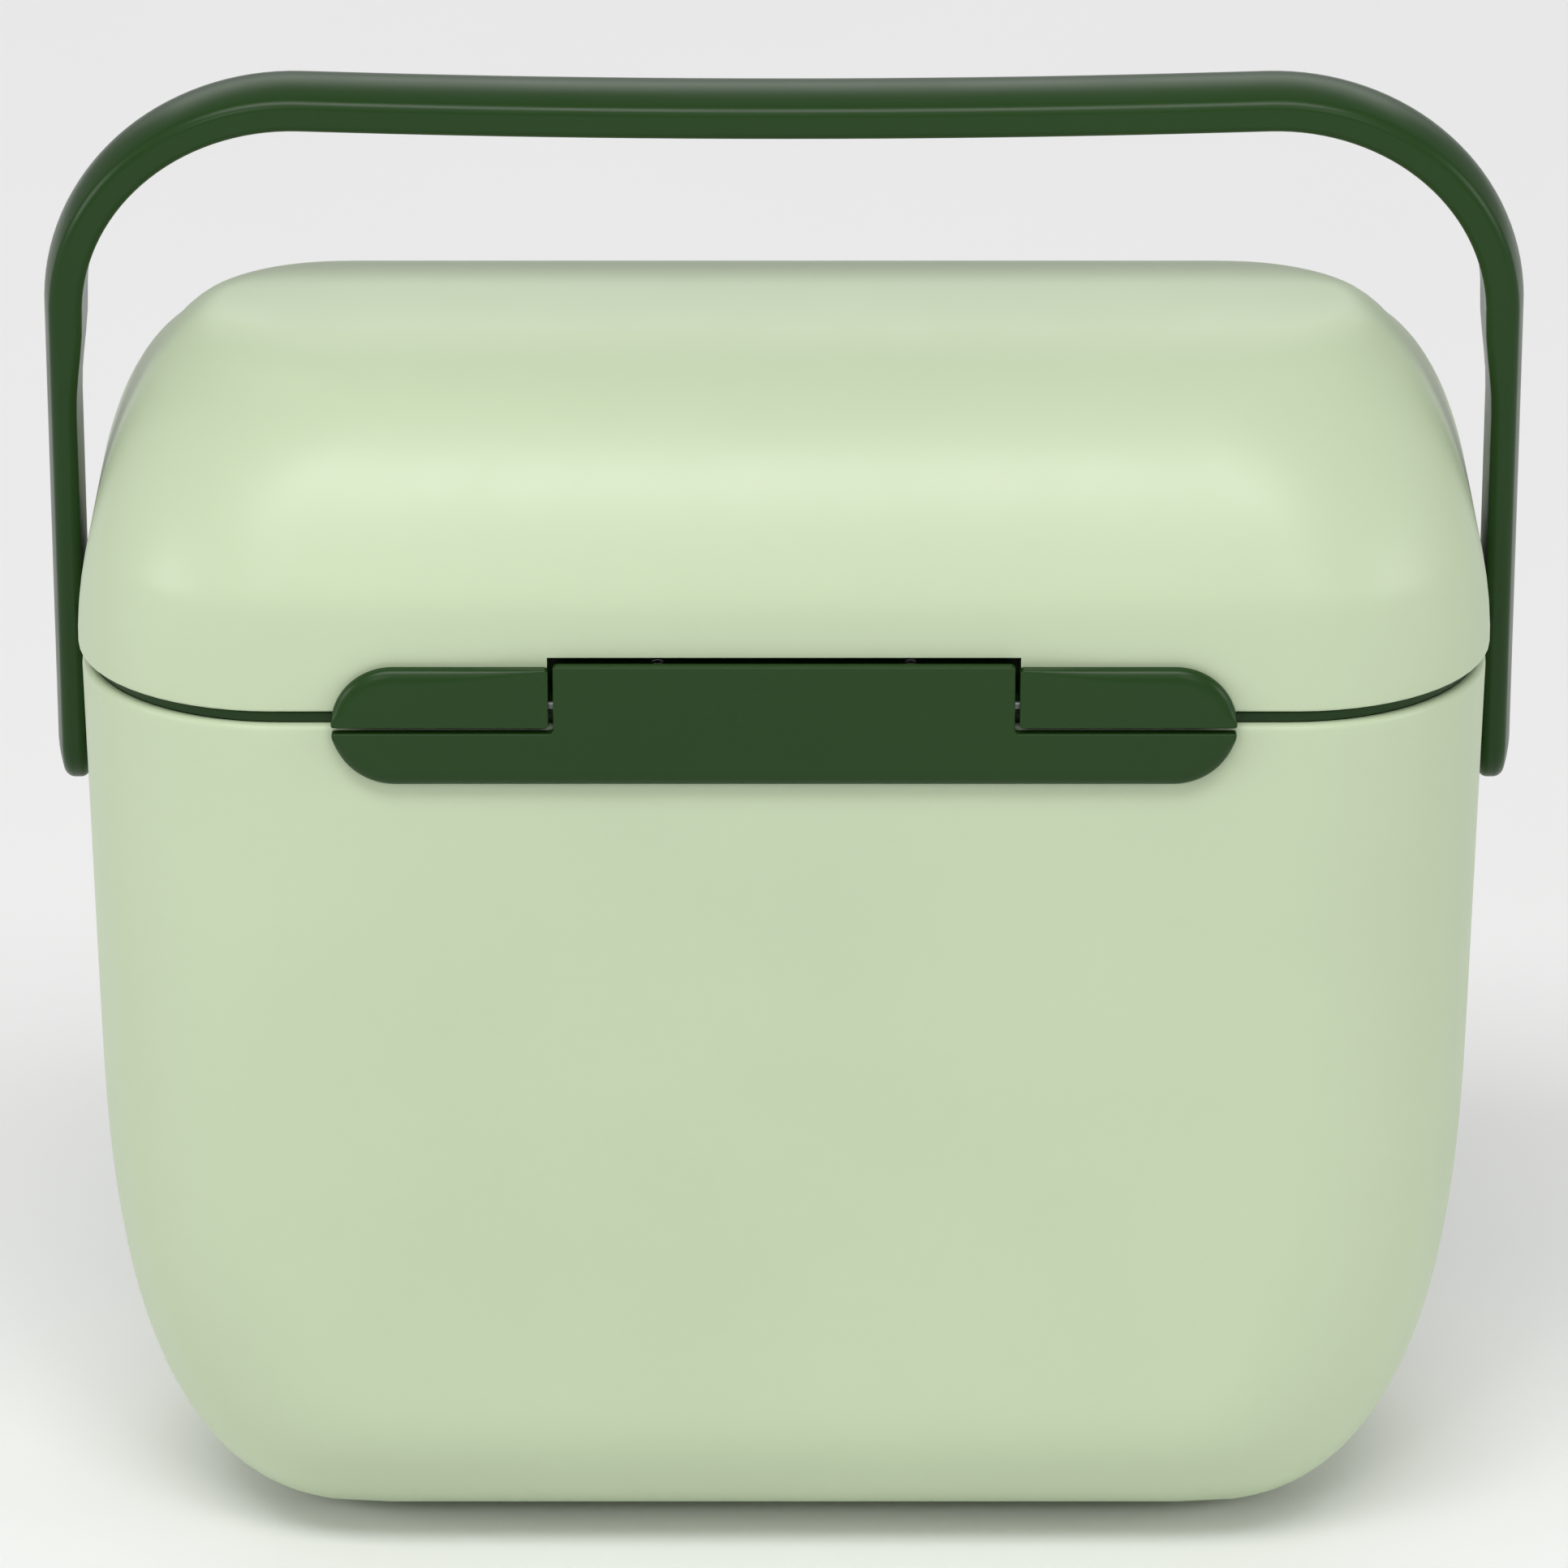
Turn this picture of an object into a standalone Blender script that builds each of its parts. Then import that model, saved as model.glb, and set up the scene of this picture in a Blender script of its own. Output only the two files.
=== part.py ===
"""Insulated cooler box with a vaulted lid, a front toggle latch and a swing-over bail handle.

Metres, +Z up. The box stands on z = 0, its front (latch) faces -Y, and the hinge is at the back.
Heights inside the helpers are measured from SEAM, the lid's lower edge.
"""
import math

import bmesh
import bpy
from mathutils import Matrix, Vector

MM = 0.001
GAP = 0.3 * MM

# overall box
SEAM = 229.6 * MM            # height of the lid's lower edge above the floor
HALF_W = 170.0 * MM          # lid
BODY_HALF_W = 169.4 * MM
HALF_D = 79.0 * MM
BODY_DEEP = 228.1 * MM       # lid edge down to the body's underside
RIM_DROP = 3.4 * MM          # open seam between lid and body
RIM_R = 1.8 * MM
DRAFT_X = 0.0195
DRAFT_Y = 0.010
EDGE_R = 50.0 * MM           # rounding of the body's upright edges
EDGE_SQUASH = 0.85           # the same rounding is this much tighter under the body
FOOT_RX = 67.4 * MM          # bottom corner seen from the front, width
FOOT_RZ = 133.6 * MM         # and height
FOOT_POWER = 2.8

# lid
LID_H = 76.2 * MM
LID_CORNER_R = 48.7 * MM
LID_SIDE_RX = 34.3 * MM
LID_SIDE_RZ = 72.1 * MM
LID_SIDE_POWER = 1.64
LID_CREASE = 26.4 * MM
LID_VAULT_NY = 1.14
LID_VAULT_MY = 3.25
CREASE_SOFT = 1.3 * MM

# walls
SKIN = 2.5 * MM
BODY_FLOOR = 4.0 * MM
LINER_OUT = 18.0 * MM
LINER_IN = 20.0 * MM
LINER_FLOOR_OUT = 21.0 * MM
LINER_FLOOR_IN = 23.0 * MM
COLLAR_LOW = -12.0 * MM
FLANGE_LOW = 3.3 * MM
FLANGE_TOP = 5.3 * MM
LID_LINER_IN = 24.0 * MM
LID_LINER_TOP = 50.0 * MM    # ceiling of the hollow in the lid
GASKET_OUT = 13.6 * MM
GASKET_IN = 18.4 * MM

# latch
LATCH_FRONT = -83.0 * MM
LATCH_HALF = 107.0 * MM
LATCH_MID_Z = -2.7 * MM
LATCH_R = 14.8 * MM
LOBE_LOW = -2.6 * MM
BAR_TOP = -4.0 * MM
TONGUE_HALF = 54.5 * MM
TONGUE_TOP = 12.9 * MM
LOBE_INNER = 55.6 * MM
PIN_Y = -80.2 * MM
PIN_Z = 2.4 * MM
PIN_R = 1.2 * MM
LEVER_BACK = -80.3 * MM
POCKET_TOP = 13.9 * MM
POCKET_BACK = -67.6 * MM
BLOCK_HALF = 63.0 * MM

# back hinge
HINGE_Y = 79.4 * MM
HINGE_Z = -1.5 * MM
HINGE_R = 3.6 * MM
HINGE_PIN_R = 1.5 * MM
HINGE_BORE_R = 1.8 * MM
HINGE_HALF = 60.0 * MM

# handle
PIVOT_Z = -36.0 * MM
LEG_OUTER = 178.2 * MM
LEG_INNER = 170.5 * MM       # up to where the opening lid sweeps; the leg thickens inwards above
THICKEN_FROM = 50.0 * MM
THICKEN_TO = 74.0 * MM
STRAP_HALF = 12.0 * MM
STRAP_T = 9.7 * MM
STRAP_OUTER_R = 4.0 * MM
STRAP_INNER_R = 2.0 * MM
BAR_Z = 126.2 * MM           # middle of the crossbar at its ends
BAR_SAG = 1.9 * MM
BEND_RX = 56.0 * MM
BEND_RZ = 51.5 * MM
STUB_R = 4.0 * MM

COLOURS = {
    "sage": (0.50, 0.60, 0.40),
    "green": (0.035, 0.090, 0.030),
    "foam": (0.85, 0.80, 0.60),
    "liner": (0.86, 0.87, 0.84),
    "rubber": (0.03, 0.035, 0.03),
    "steel": (0.60, 0.61, 0.62),
    "gasket": (0.55, 0.56, 0.54),
}


def clear_scene():
    for ob in list(bpy.data.objects):
        bpy.data.objects.remove(ob, do_unlink=True)


def material(name, colour, rough, metal=0.0):
    mat = bpy.data.materials.new(name)
    mat.use_nodes = True
    bsdf = mat.node_tree.nodes["Principled BSDF"]
    bsdf.inputs["Base Color"].default_value = (*colour, 1.0)
    bsdf.inputs["Roughness"].default_value = rough
    bsdf.inputs["Metallic"].default_value = metal
    return mat


def finish(bm, name, colour, rough=0.5, metal=0.0, origin=None):
    """Turn a bmesh into a named object whose faces look outwards."""
    bmesh.ops.remove_doubles(bm, verts=bm.verts, dist=1e-7)
    bmesh.ops.recalc_face_normals(bm, faces=bm.faces)
    mesh = bpy.data.meshes.new(name)
    bm.to_mesh(mesh)
    bm.free()
    ob = bpy.data.objects.new(name, mesh)
    bpy.context.scene.collection.objects.link(ob)
    mesh.materials.append(material(name + "_mat", COLOURS[colour], rough, metal))
    if origin is not None:
        mesh.transform(Matrix.Translation(-Vector(origin)))
        ob.location = origin
    return ob


def flat(ob):
    """Apply every modifier of an object and keep the result as its mesh."""
    dg = bpy.context.evaluated_depsgraph_get()
    mesh = bpy.data.meshes.new_from_object(ob.evaluated_get(dg))
    ob.modifiers.clear()
    old = ob.data
    ob.data = mesh
    bpy.data.meshes.remove(old)
    return ob


def cut(ob, cutters, operation="DIFFERENCE"):
    for tool in cutters:
        mod = ob.modifiers.new("cut", "BOOLEAN")
        mod.operation = operation
        mod.solver = "EXACT"
        mod.object = tool
    bpy.context.view_layer.update()
    flat(ob)
    for tool in cutters:
        bpy.data.objects.remove(tool, do_unlink=True)
    return ob


def join(ob, pieces):
    return cut(ob, pieces, "UNION")


def tool(bm):
    bmesh.ops.remove_doubles(bm, verts=bm.verts, dist=1e-7)
    bmesh.ops.recalc_face_normals(bm, faces=bm.faces)
    mesh = bpy.data.meshes.new("tool")
    bm.to_mesh(mesh)
    bm.free()
    ob = bpy.data.objects.new("tool", mesh)
    ob.hide_render = True
    ob.display_type = "WIRE"
    bpy.context.scene.collection.objects.link(ob)
    return ob


def box_bm(lo, hi):
    """A box between two corners given in the seam frame."""
    bm = bmesh.new()
    size = [h - l for l, h in zip(lo, hi)]
    mid = [(h + l) / 2 for l, h in zip(lo, hi)]
    bmesh.ops.create_cube(bm, size=1.0)
    bmesh.ops.scale(bm, vec=size, verts=bm.verts)
    bmesh.ops.translate(bm, vec=(mid[0], mid[1], mid[2] + SEAM), verts=bm.verts)
    return bm


def rod_bm(centre, axis, radius, length, segments=16, radius2=None):
    """A cylinder or cone about its centre, along X, Y or Z, in the seam frame."""
    bm = bmesh.new()
    r2 = radius if radius2 is None else radius2
    bmesh.ops.create_cone(bm, cap_ends=True, segments=segments, radius1=radius, radius2=r2, depth=length)
    turn = Matrix.Rotation(math.pi / segments, 4, "Z")
    if axis == "X":
        turn = Matrix.Rotation(math.pi / 2, 4, "Y") @ turn
    elif axis == "Y":
        turn = Matrix.Rotation(-math.pi / 2, 4, "X") @ turn
    bmesh.ops.transform(bm, matrix=turn, verts=bm.verts)
    bmesh.ops.translate(bm, vec=(centre[0], centre[1], centre[2] + SEAM), verts=bm.verts)
    return bm


def loft(rings, closed=False):
    """Skin a list of equal rings of points; cap both ends, or close the loop.

    Quads are split along the same diagonal whichever way the rings run, so nested walls stay apart.
    """
    bm = bmesh.new()
    rows = [[bm.verts.new((x, y, z + SEAM)) for x, y, z in ring] for ring in rings]
    n = len(rows[0])
    pairs = list(zip(rows, rows[1:]))
    if closed:
        pairs.append((rows[-1], rows[0]))
    for low, high in pairs:
        up = low[0].co.z <= high[0].co.z
        for i in range(n):
            j = (i + 1) % n
            if up:
                bm.faces.new((low[i], low[j], high[i]))
                bm.faces.new((low[j], high[j], high[i]))
            else:
                bm.faces.new((low[i], low[j], high[j]))
                bm.faces.new((low[i], high[j], high[i]))
    if not closed:
        bm.faces.new(rows[0][::-1])
        bm.faces.new(rows[-1])
    return bm


def extrude_x(profile, x0, x1):
    """A prism along X from a closed list of (y, z) points in the seam frame."""
    return loft([[(x, y, z) for y, z in profile] for x in (x0, x1)])


def extrude_y(profile, y0, y1):
    """A prism along Y from a closed list of (x, z) points in the seam frame."""
    return loft([[(x, y, z) for x, z in profile] for y in (y0, y1)])


def mirror_ring(quarter, z):
    """A full ring from one quarter that runs from the side (+X) to the front (-Y)."""
    front_right = [(x, -y) for x, y in quarter]
    front_left = [(-x, -y) for x, y in reversed(quarter)]
    back_left = [(-x, y) for x, y in quarter]
    back_right = [(x, y) for x, y in reversed(quarter)]
    return [(x, y, z) for x, y in front_right + front_left + back_left + back_right]


def power_corner(k, power):
    return max(0.0, 1.0 - min(1.0, max(0.0, k)) ** power) ** (1.0 / power)


def body_ring(z, off, floor, steps=6):
    """Horizontal section of the body, off metres inside its skin; floor is the offset below."""
    drop = -z
    half_w = BODY_HALF_W - DRAFT_X * drop - off
    half_d = HALF_D - DRAFT_Y * drop - off
    edge = EDGE_R - off
    rx = FOOT_RX - off
    rz = FOOT_RZ - floor
    start = BODY_DEEP - FOOT_RZ
    below = max(0.0, drop - start)
    squash = EDGE_SQUASH * (EDGE_R - floor) / edge
    most = min(1.0, (rz - below) / (squash * edge)) if below > 0 else 1.0
    last = math.acos(min(1.0, max(0.0, 1.0 - most)))
    quarter = []
    for i in range(steps + 1):
        psi = last * i / steps
        inset = edge * (1.0 - math.cos(psi))
        k = below / (rz - inset * squash)
        x = half_w - rx + (rx - inset) * power_corner(k, FOOT_POWER)
        y = half_d - edge + edge * math.sin(psi)
        quarter.append((x, y))
    return mirror_ring(quarter, z)


def body_levels(floor, top, count):
    """Heights from the underside to the top, closer together where the corner turns."""
    bottom = -(BODY_DEEP - floor)
    start = -(BODY_DEEP - FOOT_RZ)
    levels = []
    for i in range(count, 0, -1):
        k = math.sin(math.pi / 2 * i / count) ** (2.0 / FOOT_POWER)
        levels.append(start + (bottom - start) * k)
    levels[0] = bottom
    levels.append(start)
    levels.append(top)
    return levels


def soft_over(value, soft):
    """Zero below zero and the value above it, with a soft turn between."""
    t = value / soft
    if t > 30:
        return value
    return soft * math.log1p(math.exp(t))


def vault_depth(z, off):
    """Half depth of the lid at a height."""
    rise = soft_over(z - LID_CREASE, CREASE_SOFT)
    k = min(1.0, rise / (LID_H - LID_CREASE - off))
    return (HALF_D - off) * (1.0 - k ** LID_VAULT_NY) ** (1.0 / LID_VAULT_MY)


def lid_ring(z, off, steps=6):
    k = (z - (LID_H - LID_SIDE_RZ)) / (LID_SIDE_RZ - off)
    rx = LID_SIDE_RX - off
    a = HALF_W - off - rx * (1.0 - power_corner(k, LID_SIDE_POWER))
    b = vault_depth(z, off)
    c = min(LID_CORNER_R - off, b - 0.2 * MM)
    quarter = []
    for i in range(steps + 1):
        t = math.pi / 2 * i / steps
        quarter.append((a - c + c * math.cos(t), b - c + c * math.sin(t)))
    return mirror_ring(quarter, z)


def vault_height(depth, off):
    """Height at which the vault is this deep, found by halving."""
    low, high = LID_CREASE, LID_H - off
    for _ in range(50):
        mid = (low + high) / 2
        if vault_depth(mid, off) > depth:
            low = mid
        else:
            high = mid
    return low


def lid_levels(off, start):
    levels = [start, 14.0 * MM, 22.5 * MM, 26.4 * MM, 30.0 * MM]
    for share in (0.93, 0.86, 0.76, 0.62, 0.45, 0.28, 0.14):
        levels.append(vault_height((HALF_D - off) * share, off))
    return sorted(levels)


# ---------------------------------------------------------------- body

def make_body():
    outer = [body_ring(z, 0.0, 0.0) for z in body_levels(0.0, -RIM_DROP - RIM_R, 8)]
    for turn in (45, 90):
        a = math.radians(turn)
        z = -RIM_DROP - RIM_R * (1.0 - math.sin(a))
        outer.append(body_ring(z, RIM_R * (1.0 - math.cos(a)), 0.0))
    inner = [body_ring(-RIM_DROP, SKIN, BODY_FLOOR)]
    inner += [body_ring(z, SKIN, BODY_FLOOR) for z in reversed(body_levels(BODY_FLOOR, -20 * MM, 7))]
    shell = finish(loft(outer + inner), "body_shell", "sage", 0.45)
    tools = [tool(rod_bm((0, HINGE_Y, HINGE_Z), "X", HINGE_R + 0.5 * MM, 2 * HINGE_HALF + 2 * MM, 16))]
    for side in (-1, 1):
        tools.append(tool(rod_bm((side * BODY_HALF_W, 0, PIVOT_Z), "X", STUB_R + GAP, 20 * MM, 16)))
    for x in (-1, 1):
        for y in (-1, 1):
            centre = (x * 78 * MM, y * 17 * MM, -BODY_DEEP)
            tools.append(tool(rod_bm(centre, "Z", 8.4 * MM, 4.0 * MM, 16)))
    tools.append(tool(box_bm((-32.3 * MM, -82 * MM, -17.1 * MM), (32.3 * MM, -70 * MM, -5.7 * MM))))
    cut(shell, tools)

    o = SKIN + 0.5 * MM
    f = BODY_FLOOR + 0.5 * MM
    top = COLLAR_LOW - GAP
    outer = [body_ring(z, o, f) for z in body_levels(f, top, 7)]
    o = LINER_OUT - 0.7 * MM
    f = LINER_FLOOR_OUT - 0.7 * MM
    inner = [body_ring(z, o, f) for z in reversed(body_levels(f, top, 6))]
    foam = finish(loft(outer + inner), "body_insulation", "foam", 0.9)
    tools = []
    for side in (-1, 1):
        tools.append(tool(rod_bm((side * (BODY_HALF_W - 6 * MM), 0, PIVOT_Z), "X", 9.0 * MM, 12 * MM, 16)))
    tools.append(tool(box_bm((-33 * MM, -82 * MM, -20 * MM), (33 * MM, -69 * MM, -4 * MM))))
    cut(foam, tools)

    top = -4.3 * MM
    outer = [body_ring(z, LINER_OUT, LINER_FLOOR_OUT) for z in body_levels(LINER_FLOOR_OUT, top, 6)]
    inner = [body_ring(z, LINER_IN, LINER_FLOOR_IN) for z in reversed(body_levels(LINER_FLOOR_IN, top, 6))]
    finish(loft(outer + inner), "body_liner", "liner", 0.35)

    profile = (
        (2.8, -12.0), (2.8, -3.1), (2.1, -3.1), (2.1, -1.1), (2.7, -0.5),
        (19.9, -0.5), (20.4, -1.0), (20.4, -4.0), (17.5, -4.0), (17.5, -12.0),
    )
    rings = [body_ring(z * MM, off * MM, 0.0) for off, z in profile]
    collar = finish(loft(rings, closed=True), "rim_collar", "green", 0.4)
    tools = [tool(rod_bm((0, HINGE_Y, HINGE_Z), "X", HINGE_R + 0.5 * MM, 2 * HINGE_HALF + 2 * MM, 16))]
    tools.append(tool(box_bm((-33 * MM, -82 * MM, -20 * MM), (33 * MM, -69 * MM, -5.4 * MM))))
    cut(collar, tools)

    # catch: an insert in the front wall whose low rib the lever snaps over
    face = -(HALF_D - 0.1 * MM)
    catch = finish(box_bm((-32 * MM, face, -16.8 * MM), (32 * MM, -70 * MM, -6 * MM)), "latch_catch", "green", 0.4)
    rib = [(face + 0.5 * MM, -12.6 * MM), (-79.6 * MM, -11.6 * MM), (-79.6 * MM, -10.2 * MM), (face + 0.5 * MM, -8.6 * MM)]
    join(catch, [tool(extrude_x(rib, -24 * MM, 24 * MM))])
    holes = [tool(rod_bm((s * 28 * MM, face, -11.4 * MM), "Y", 2.2 * MM, 12 * MM, 12)) for s in (-1, 1)]
    cut(catch, holes)
    for s, side in ((-1, "left"), (1, "right")):
        shank = screw_bm((s * 28 * MM, face + 1.0 * MM, -11.4 * MM), "Y", 1.9 * MM, 4.5 * MM)
        finish(shank, "catch_screw_" + side, "steel", 0.3, 1.0)

    for i, (x, y) in enumerate(((-1, -1), (1, -1), (-1, 1), (1, 1))):
        name = "foot_" + ("front", "back")[y > 0] + ("_left", "_right")[x > 0]
        z = -SEAM + 1.65 * MM
        pad = rod_bm((x * 78 * MM, y * 17 * MM, z), "Z", 7.2 * MM, 3.3 * MM, 16, 8.0 * MM)
        finish(pad, name, "rubber", 0.8)


def screw_bm(seat, axis, radius, length, out=-1):
    """A plain shank whose outer end, at the seat, has a shallow driver dimple."""
    bm = rod_bm((0, 0, 0), "Z", radius, length, 12)
    top = [f for f in bm.faces if f.normal.z > 0.9]
    inset = bmesh.ops.inset_region(bm, faces=top, thickness=radius * 0.45)
    top = [f for f in bm.faces if f.normal.z > 0.9 and len(f.verts) == 12]
    inner = min(top, key=lambda f: f.calc_area())
    bmesh.ops.translate(bm, vec=(0, 0, -radius * 0.5), verts=inner.verts)
    shift = Matrix.Translation((0, 0, -SEAM - length / 2))
    turn = Matrix.Identity(4)
    if axis == "Y":
        turn = Matrix.Rotation(math.pi / 2 if out < 0 else -math.pi / 2, 4, "X")
    place = Matrix.Translation((seat[0], seat[1], seat[2] + SEAM))
    bmesh.ops.transform(bm, matrix=place @ turn @ shift, verts=bm.verts)
    return bm


# ---------------------------------------------------------------- lid

def make_lid():
    outer = [lid_ring(0.0, 0.8 * MM), lid_ring(0.8 * MM, 0.0)]
    outer += [lid_ring(z, 0.0) for z in lid_levels(0.0, 6.0 * MM)]
    inner = [lid_ring(z, SKIN) for z in reversed(lid_levels(SKIN, 8.0 * MM))]
    inner.append(lid_ring(0.0, SKIN))
    rings = outer + inner
    shell = finish(loft_cup(rings, len(outer)), "lid_shell", "sage", 0.45)
    tools = [tool(rod_bm((0, HINGE_Y, HINGE_Z), "X", HINGE_R + 0.5 * MM, 2 * HINGE_HALF + 2 * MM, 16))]
    tools.append(tool(box_bm((-55.9 * MM, -86 * MM, -2 * MM), (55.9 * MM, -72 * MM, POCKET_TOP))))
    tools.append(tool(box_bm((-BLOCK_HALF - GAP, -86 * MM, -2 * MM), (BLOCK_HALF + GAP, -72 * MM, 11.3 * MM))))
    cut(shell, tools)

    # liner: a flat flange inside the skirt and a hollow reaching up into the lid
    top = LID_LINER_TOP
    flange_out = SKIN + 0.4 * MM
    levels = [FLANGE_TOP, 20 * MM, 34 * MM, 42 * MM, 47 * MM]
    over = [0.0, 0.0, 1.5 * MM, 5.0 * MM, 10.0 * MM]
    rings = [flange_ring(FLANGE_LOW, LID_LINER_IN)]
    rings.append(flange_ring(FLANGE_LOW, flange_out))
    rings.append(flange_ring(FLANGE_TOP, flange_out))
    rings += [flange_ring(z, LID_LINER_IN - 2 * MM + d) for z, d in zip(levels, over)]
    rings.append(flange_ring(top + 2 * MM, LID_LINER_IN + 18 * MM))
    inner = [flange_ring(z, LID_LINER_IN + d) for z, d in zip(levels[1:], over[1:])]
    inner.append(flange_ring(top, LID_LINER_IN + 18 * MM))
    liner = finish(loft_folded(rings, inner), "lid_liner", "liner", 0.35)
    notch = box_bm((-BLOCK_HALF - 2 * GAP, -86 * MM, -2 * MM), (BLOCK_HALF + 2 * GAP, -66.1 * MM, 15.6 * MM))
    cut(liner, [tool(notch)])

    off = SKIN + 0.5 * MM
    outer = [lid_ring(FLANGE_TOP + GAP, off)] + [lid_ring(z, off) for z in lid_levels(off, 9.0 * MM)]
    inner = [flange_ring(z, LID_LINER_IN - 2.5 * MM + d) for z, d in zip(levels, over)]
    inner[0] = flange_ring(FLANGE_TOP + GAP, LID_LINER_IN - 2.5 * MM)
    inner.append(flange_ring(top + 2.5 * MM, LID_LINER_IN + 17.5 * MM))
    foam = finish(loft_folded(outer, inner), "lid_insulation", "foam", 0.9)
    notch = box_bm((-BLOCK_HALF - 2 * GAP, -86 * MM, -2 * MM), (BLOCK_HALF + 2 * GAP, -66.1 * MM, 15.6 * MM))
    cut(foam, [tool(notch)])

    profile = ((13.6, 3.0), (13.6, 1.4), (14.9, -0.2), (17.1, -0.2), (18.4, 1.4), (18.4, 3.0))
    rings = [flange_ring(z * MM, off * MM) for off, z in profile]
    finish(loft(rings, closed=True), "lid_gasket", "gasket", 0.7)


def flange_ring(z, off, steps=6):
    """A ring inside the lid with upright walls."""
    a = HALF_W - off
    b = HALF_D - off
    c = max(8 * MM, LID_CORNER_R - off)
    quarter = []
    for i in range(steps + 1):
        t = math.pi / 2 * i / steps
        quarter.append((a - c + c * math.cos(t), b - c + c * math.sin(t)))
    return mirror_ring(quarter, z)


def loft_cup(rings, outer_count):
    """A cup open below: both ends of the outer and the inner run are capped at the top."""
    outer = rings[:outer_count]
    inner = rings[outer_count:]
    return loft(list(reversed(outer)) + list(reversed(inner)))


def loft_folded(outer, inner):
    """A cup open below from an outer run and an inner run, both listed from the rim upwards."""
    return loft(list(reversed(outer)) + inner)


# ---------------------------------------------------------------- latch

def arc(cx, cz, r, a0, a1, n):
    """Points on a circle between two angles in degrees."""
    out = []
    for i in range(n + 1):
        a = math.radians(a0 + (a1 - a0) * i / n)
        out.append((cx + r * math.cos(a), cz + r * math.sin(a)))
    return out


def plate_bm(profile, front, back, bevel):
    """A plate in the XZ plane with its front edge bevelled."""
    n = len(profile)
    small = []
    for i in range(n):
        p0 = Vector(profile[i - 1])
        p1 = Vector(profile[i])
        p2 = Vector(profile[(i + 1) % n])
        n0 = Vector((-(p1 - p0).y, (p1 - p0).x)).normalized()
        n1 = Vector((-(p2 - p1).y, (p2 - p1).x)).normalized()
        mid = (n0 + n1).normalized()
        small.append(p1 + mid * bevel / max(0.4, mid.dot(n0)))
    rings = [
        [(p[0], back, p[1]) for p in profile],
        [(p[0], front + bevel, p[1]) for p in profile],
        [(p[0], front, p[1]) for p in small],
    ]
    return loft(rings)


def make_latch():
    mid_x = LATCH_HALF - LATCH_R
    # lever outline, anticlockwise seen from the front with x to the right
    outline = [(-TONGUE_HALF, BAR_TOP), (-LATCH_HALF + 0.1 * MM, BAR_TOP)]
    outline += arc(-mid_x, LATCH_MID_Z, LATCH_R, 190, 270, 6)
    outline += arc(mid_x, LATCH_MID_Z, LATCH_R, 270, 350, 6)
    outline += [(LATCH_HALF - 0.1 * MM, BAR_TOP), (TONGUE_HALF, BAR_TOP)]
    outline += [(TONGUE_HALF, TONGUE_TOP), (-TONGUE_HALF, TONGUE_TOP)]
    lever = finish(plate_bm(outline, LATCH_FRONT, LEVER_BACK, 0.8 * MM), "latch_lever", "green", 0.4)
    barrel = tool(rod_bm((0, PIN_Y, PIN_Z), "X", 2.75 * MM, 2 * TONGUE_HALF, 16))
    lip = [(LEVER_BACK - 0.5 * MM, -16.2 * MM), (-79.95 * MM, -15.6 * MM)]
    lip += [(-79.95 * MM, -14.4 * MM), (LEVER_BACK - 0.5 * MM, -13.8 * MM)]
    join(lever, [barrel, tool(extrude_x(lip, -24 * MM, 24 * MM))])
    cut(lever, [tool(rod_bm((0, PIN_Y, PIN_Z), "X", PIN_R + 0.15 * MM, 2 * TONGUE_HALF + 4 * MM, 16))])
    set_origin(lever, (0, PIN_Y, PIN_Z))

    # bracket: two lobes on the lid's face joined by a trough behind the tongue
    end_z = LATCH_MID_Z
    lobes = []
    lobe_back = -(HALF_D + GAP)
    for s in (-1, 1):
        curve = [(LOBE_INNER, LOBE_LOW)] + arc(mid_x, end_z, LATCH_R, 0.5, 90, 7) + [(LOBE_INNER, end_z + LATCH_R)]
        if s < 0:
            curve = [(-x, z) for x, z in reversed(curve)]
        lobes.append(plate_bm(curve, LATCH_FRONT, lobe_back, 0.8 * MM))
    bracket = finish(lobes[0], "latch_bracket", "green", 0.4)
    block = box_bm((-BLOCK_HALF, LATCH_FRONT + 1.5 * MM, 0.2 * MM), (BLOCK_HALF, -66.4 * MM, 11.0 * MM))
    trough = box_bm((-BLOCK_HALF, -76.2 * MM, 0.2 * MM), (BLOCK_HALF, -66.4 * MM, 15.3 * MM))
    join(bracket, [tool(lobes[1]), tool(block), tool(trough)])
    pocket = box_bm((-LOBE_INNER, -90 * MM, 1.5 * MM), (LOBE_INNER, POCKET_BACK, POCKET_TOP))
    front = box_bm((-LOBE_INNER, -90 * MM, -3 * MM), (LOBE_INNER, -76.6 * MM, POCKET_TOP))
    bore = rod_bm((0, PIN_Y, PIN_Z), "X", PIN_R + 0.15 * MM, 2 * (BLOCK_HALF - 1.5 * MM), 16)
    holes = []
    for s in (-1, 1):
        holes.append(tool(rod_bm((s * 30 * MM, -67 * MM, 8 * MM), "Y", 1.7 * MM, 6 * MM, 12)))
    cut(bracket, [tool(pocket), tool(front), tool(bore)] + holes)

    pin = rod_bm((0, PIN_Y, PIN_Z), "X", PIN_R, 2 * (BLOCK_HALF - 2 * MM), 16)
    finish(pin, "latch_pin", "steel", 0.25, 1.0)
    for s, side in ((-1, "left"), (1, "right")):
        shank = screw_bm((s * 30 * MM, -67.9 * MM, 8 * MM), "Y", 1.4 * MM, 1.4 * MM)
        finish(shank, "bracket_screw_" + side, "steel", 0.3, 1.0)


def set_origin(ob, centre):
    world = Vector((centre[0], centre[1], centre[2] + SEAM))
    ob.data.transform(Matrix.Translation(-world))
    ob.location = world


# ---------------------------------------------------------------- hinge

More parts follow.
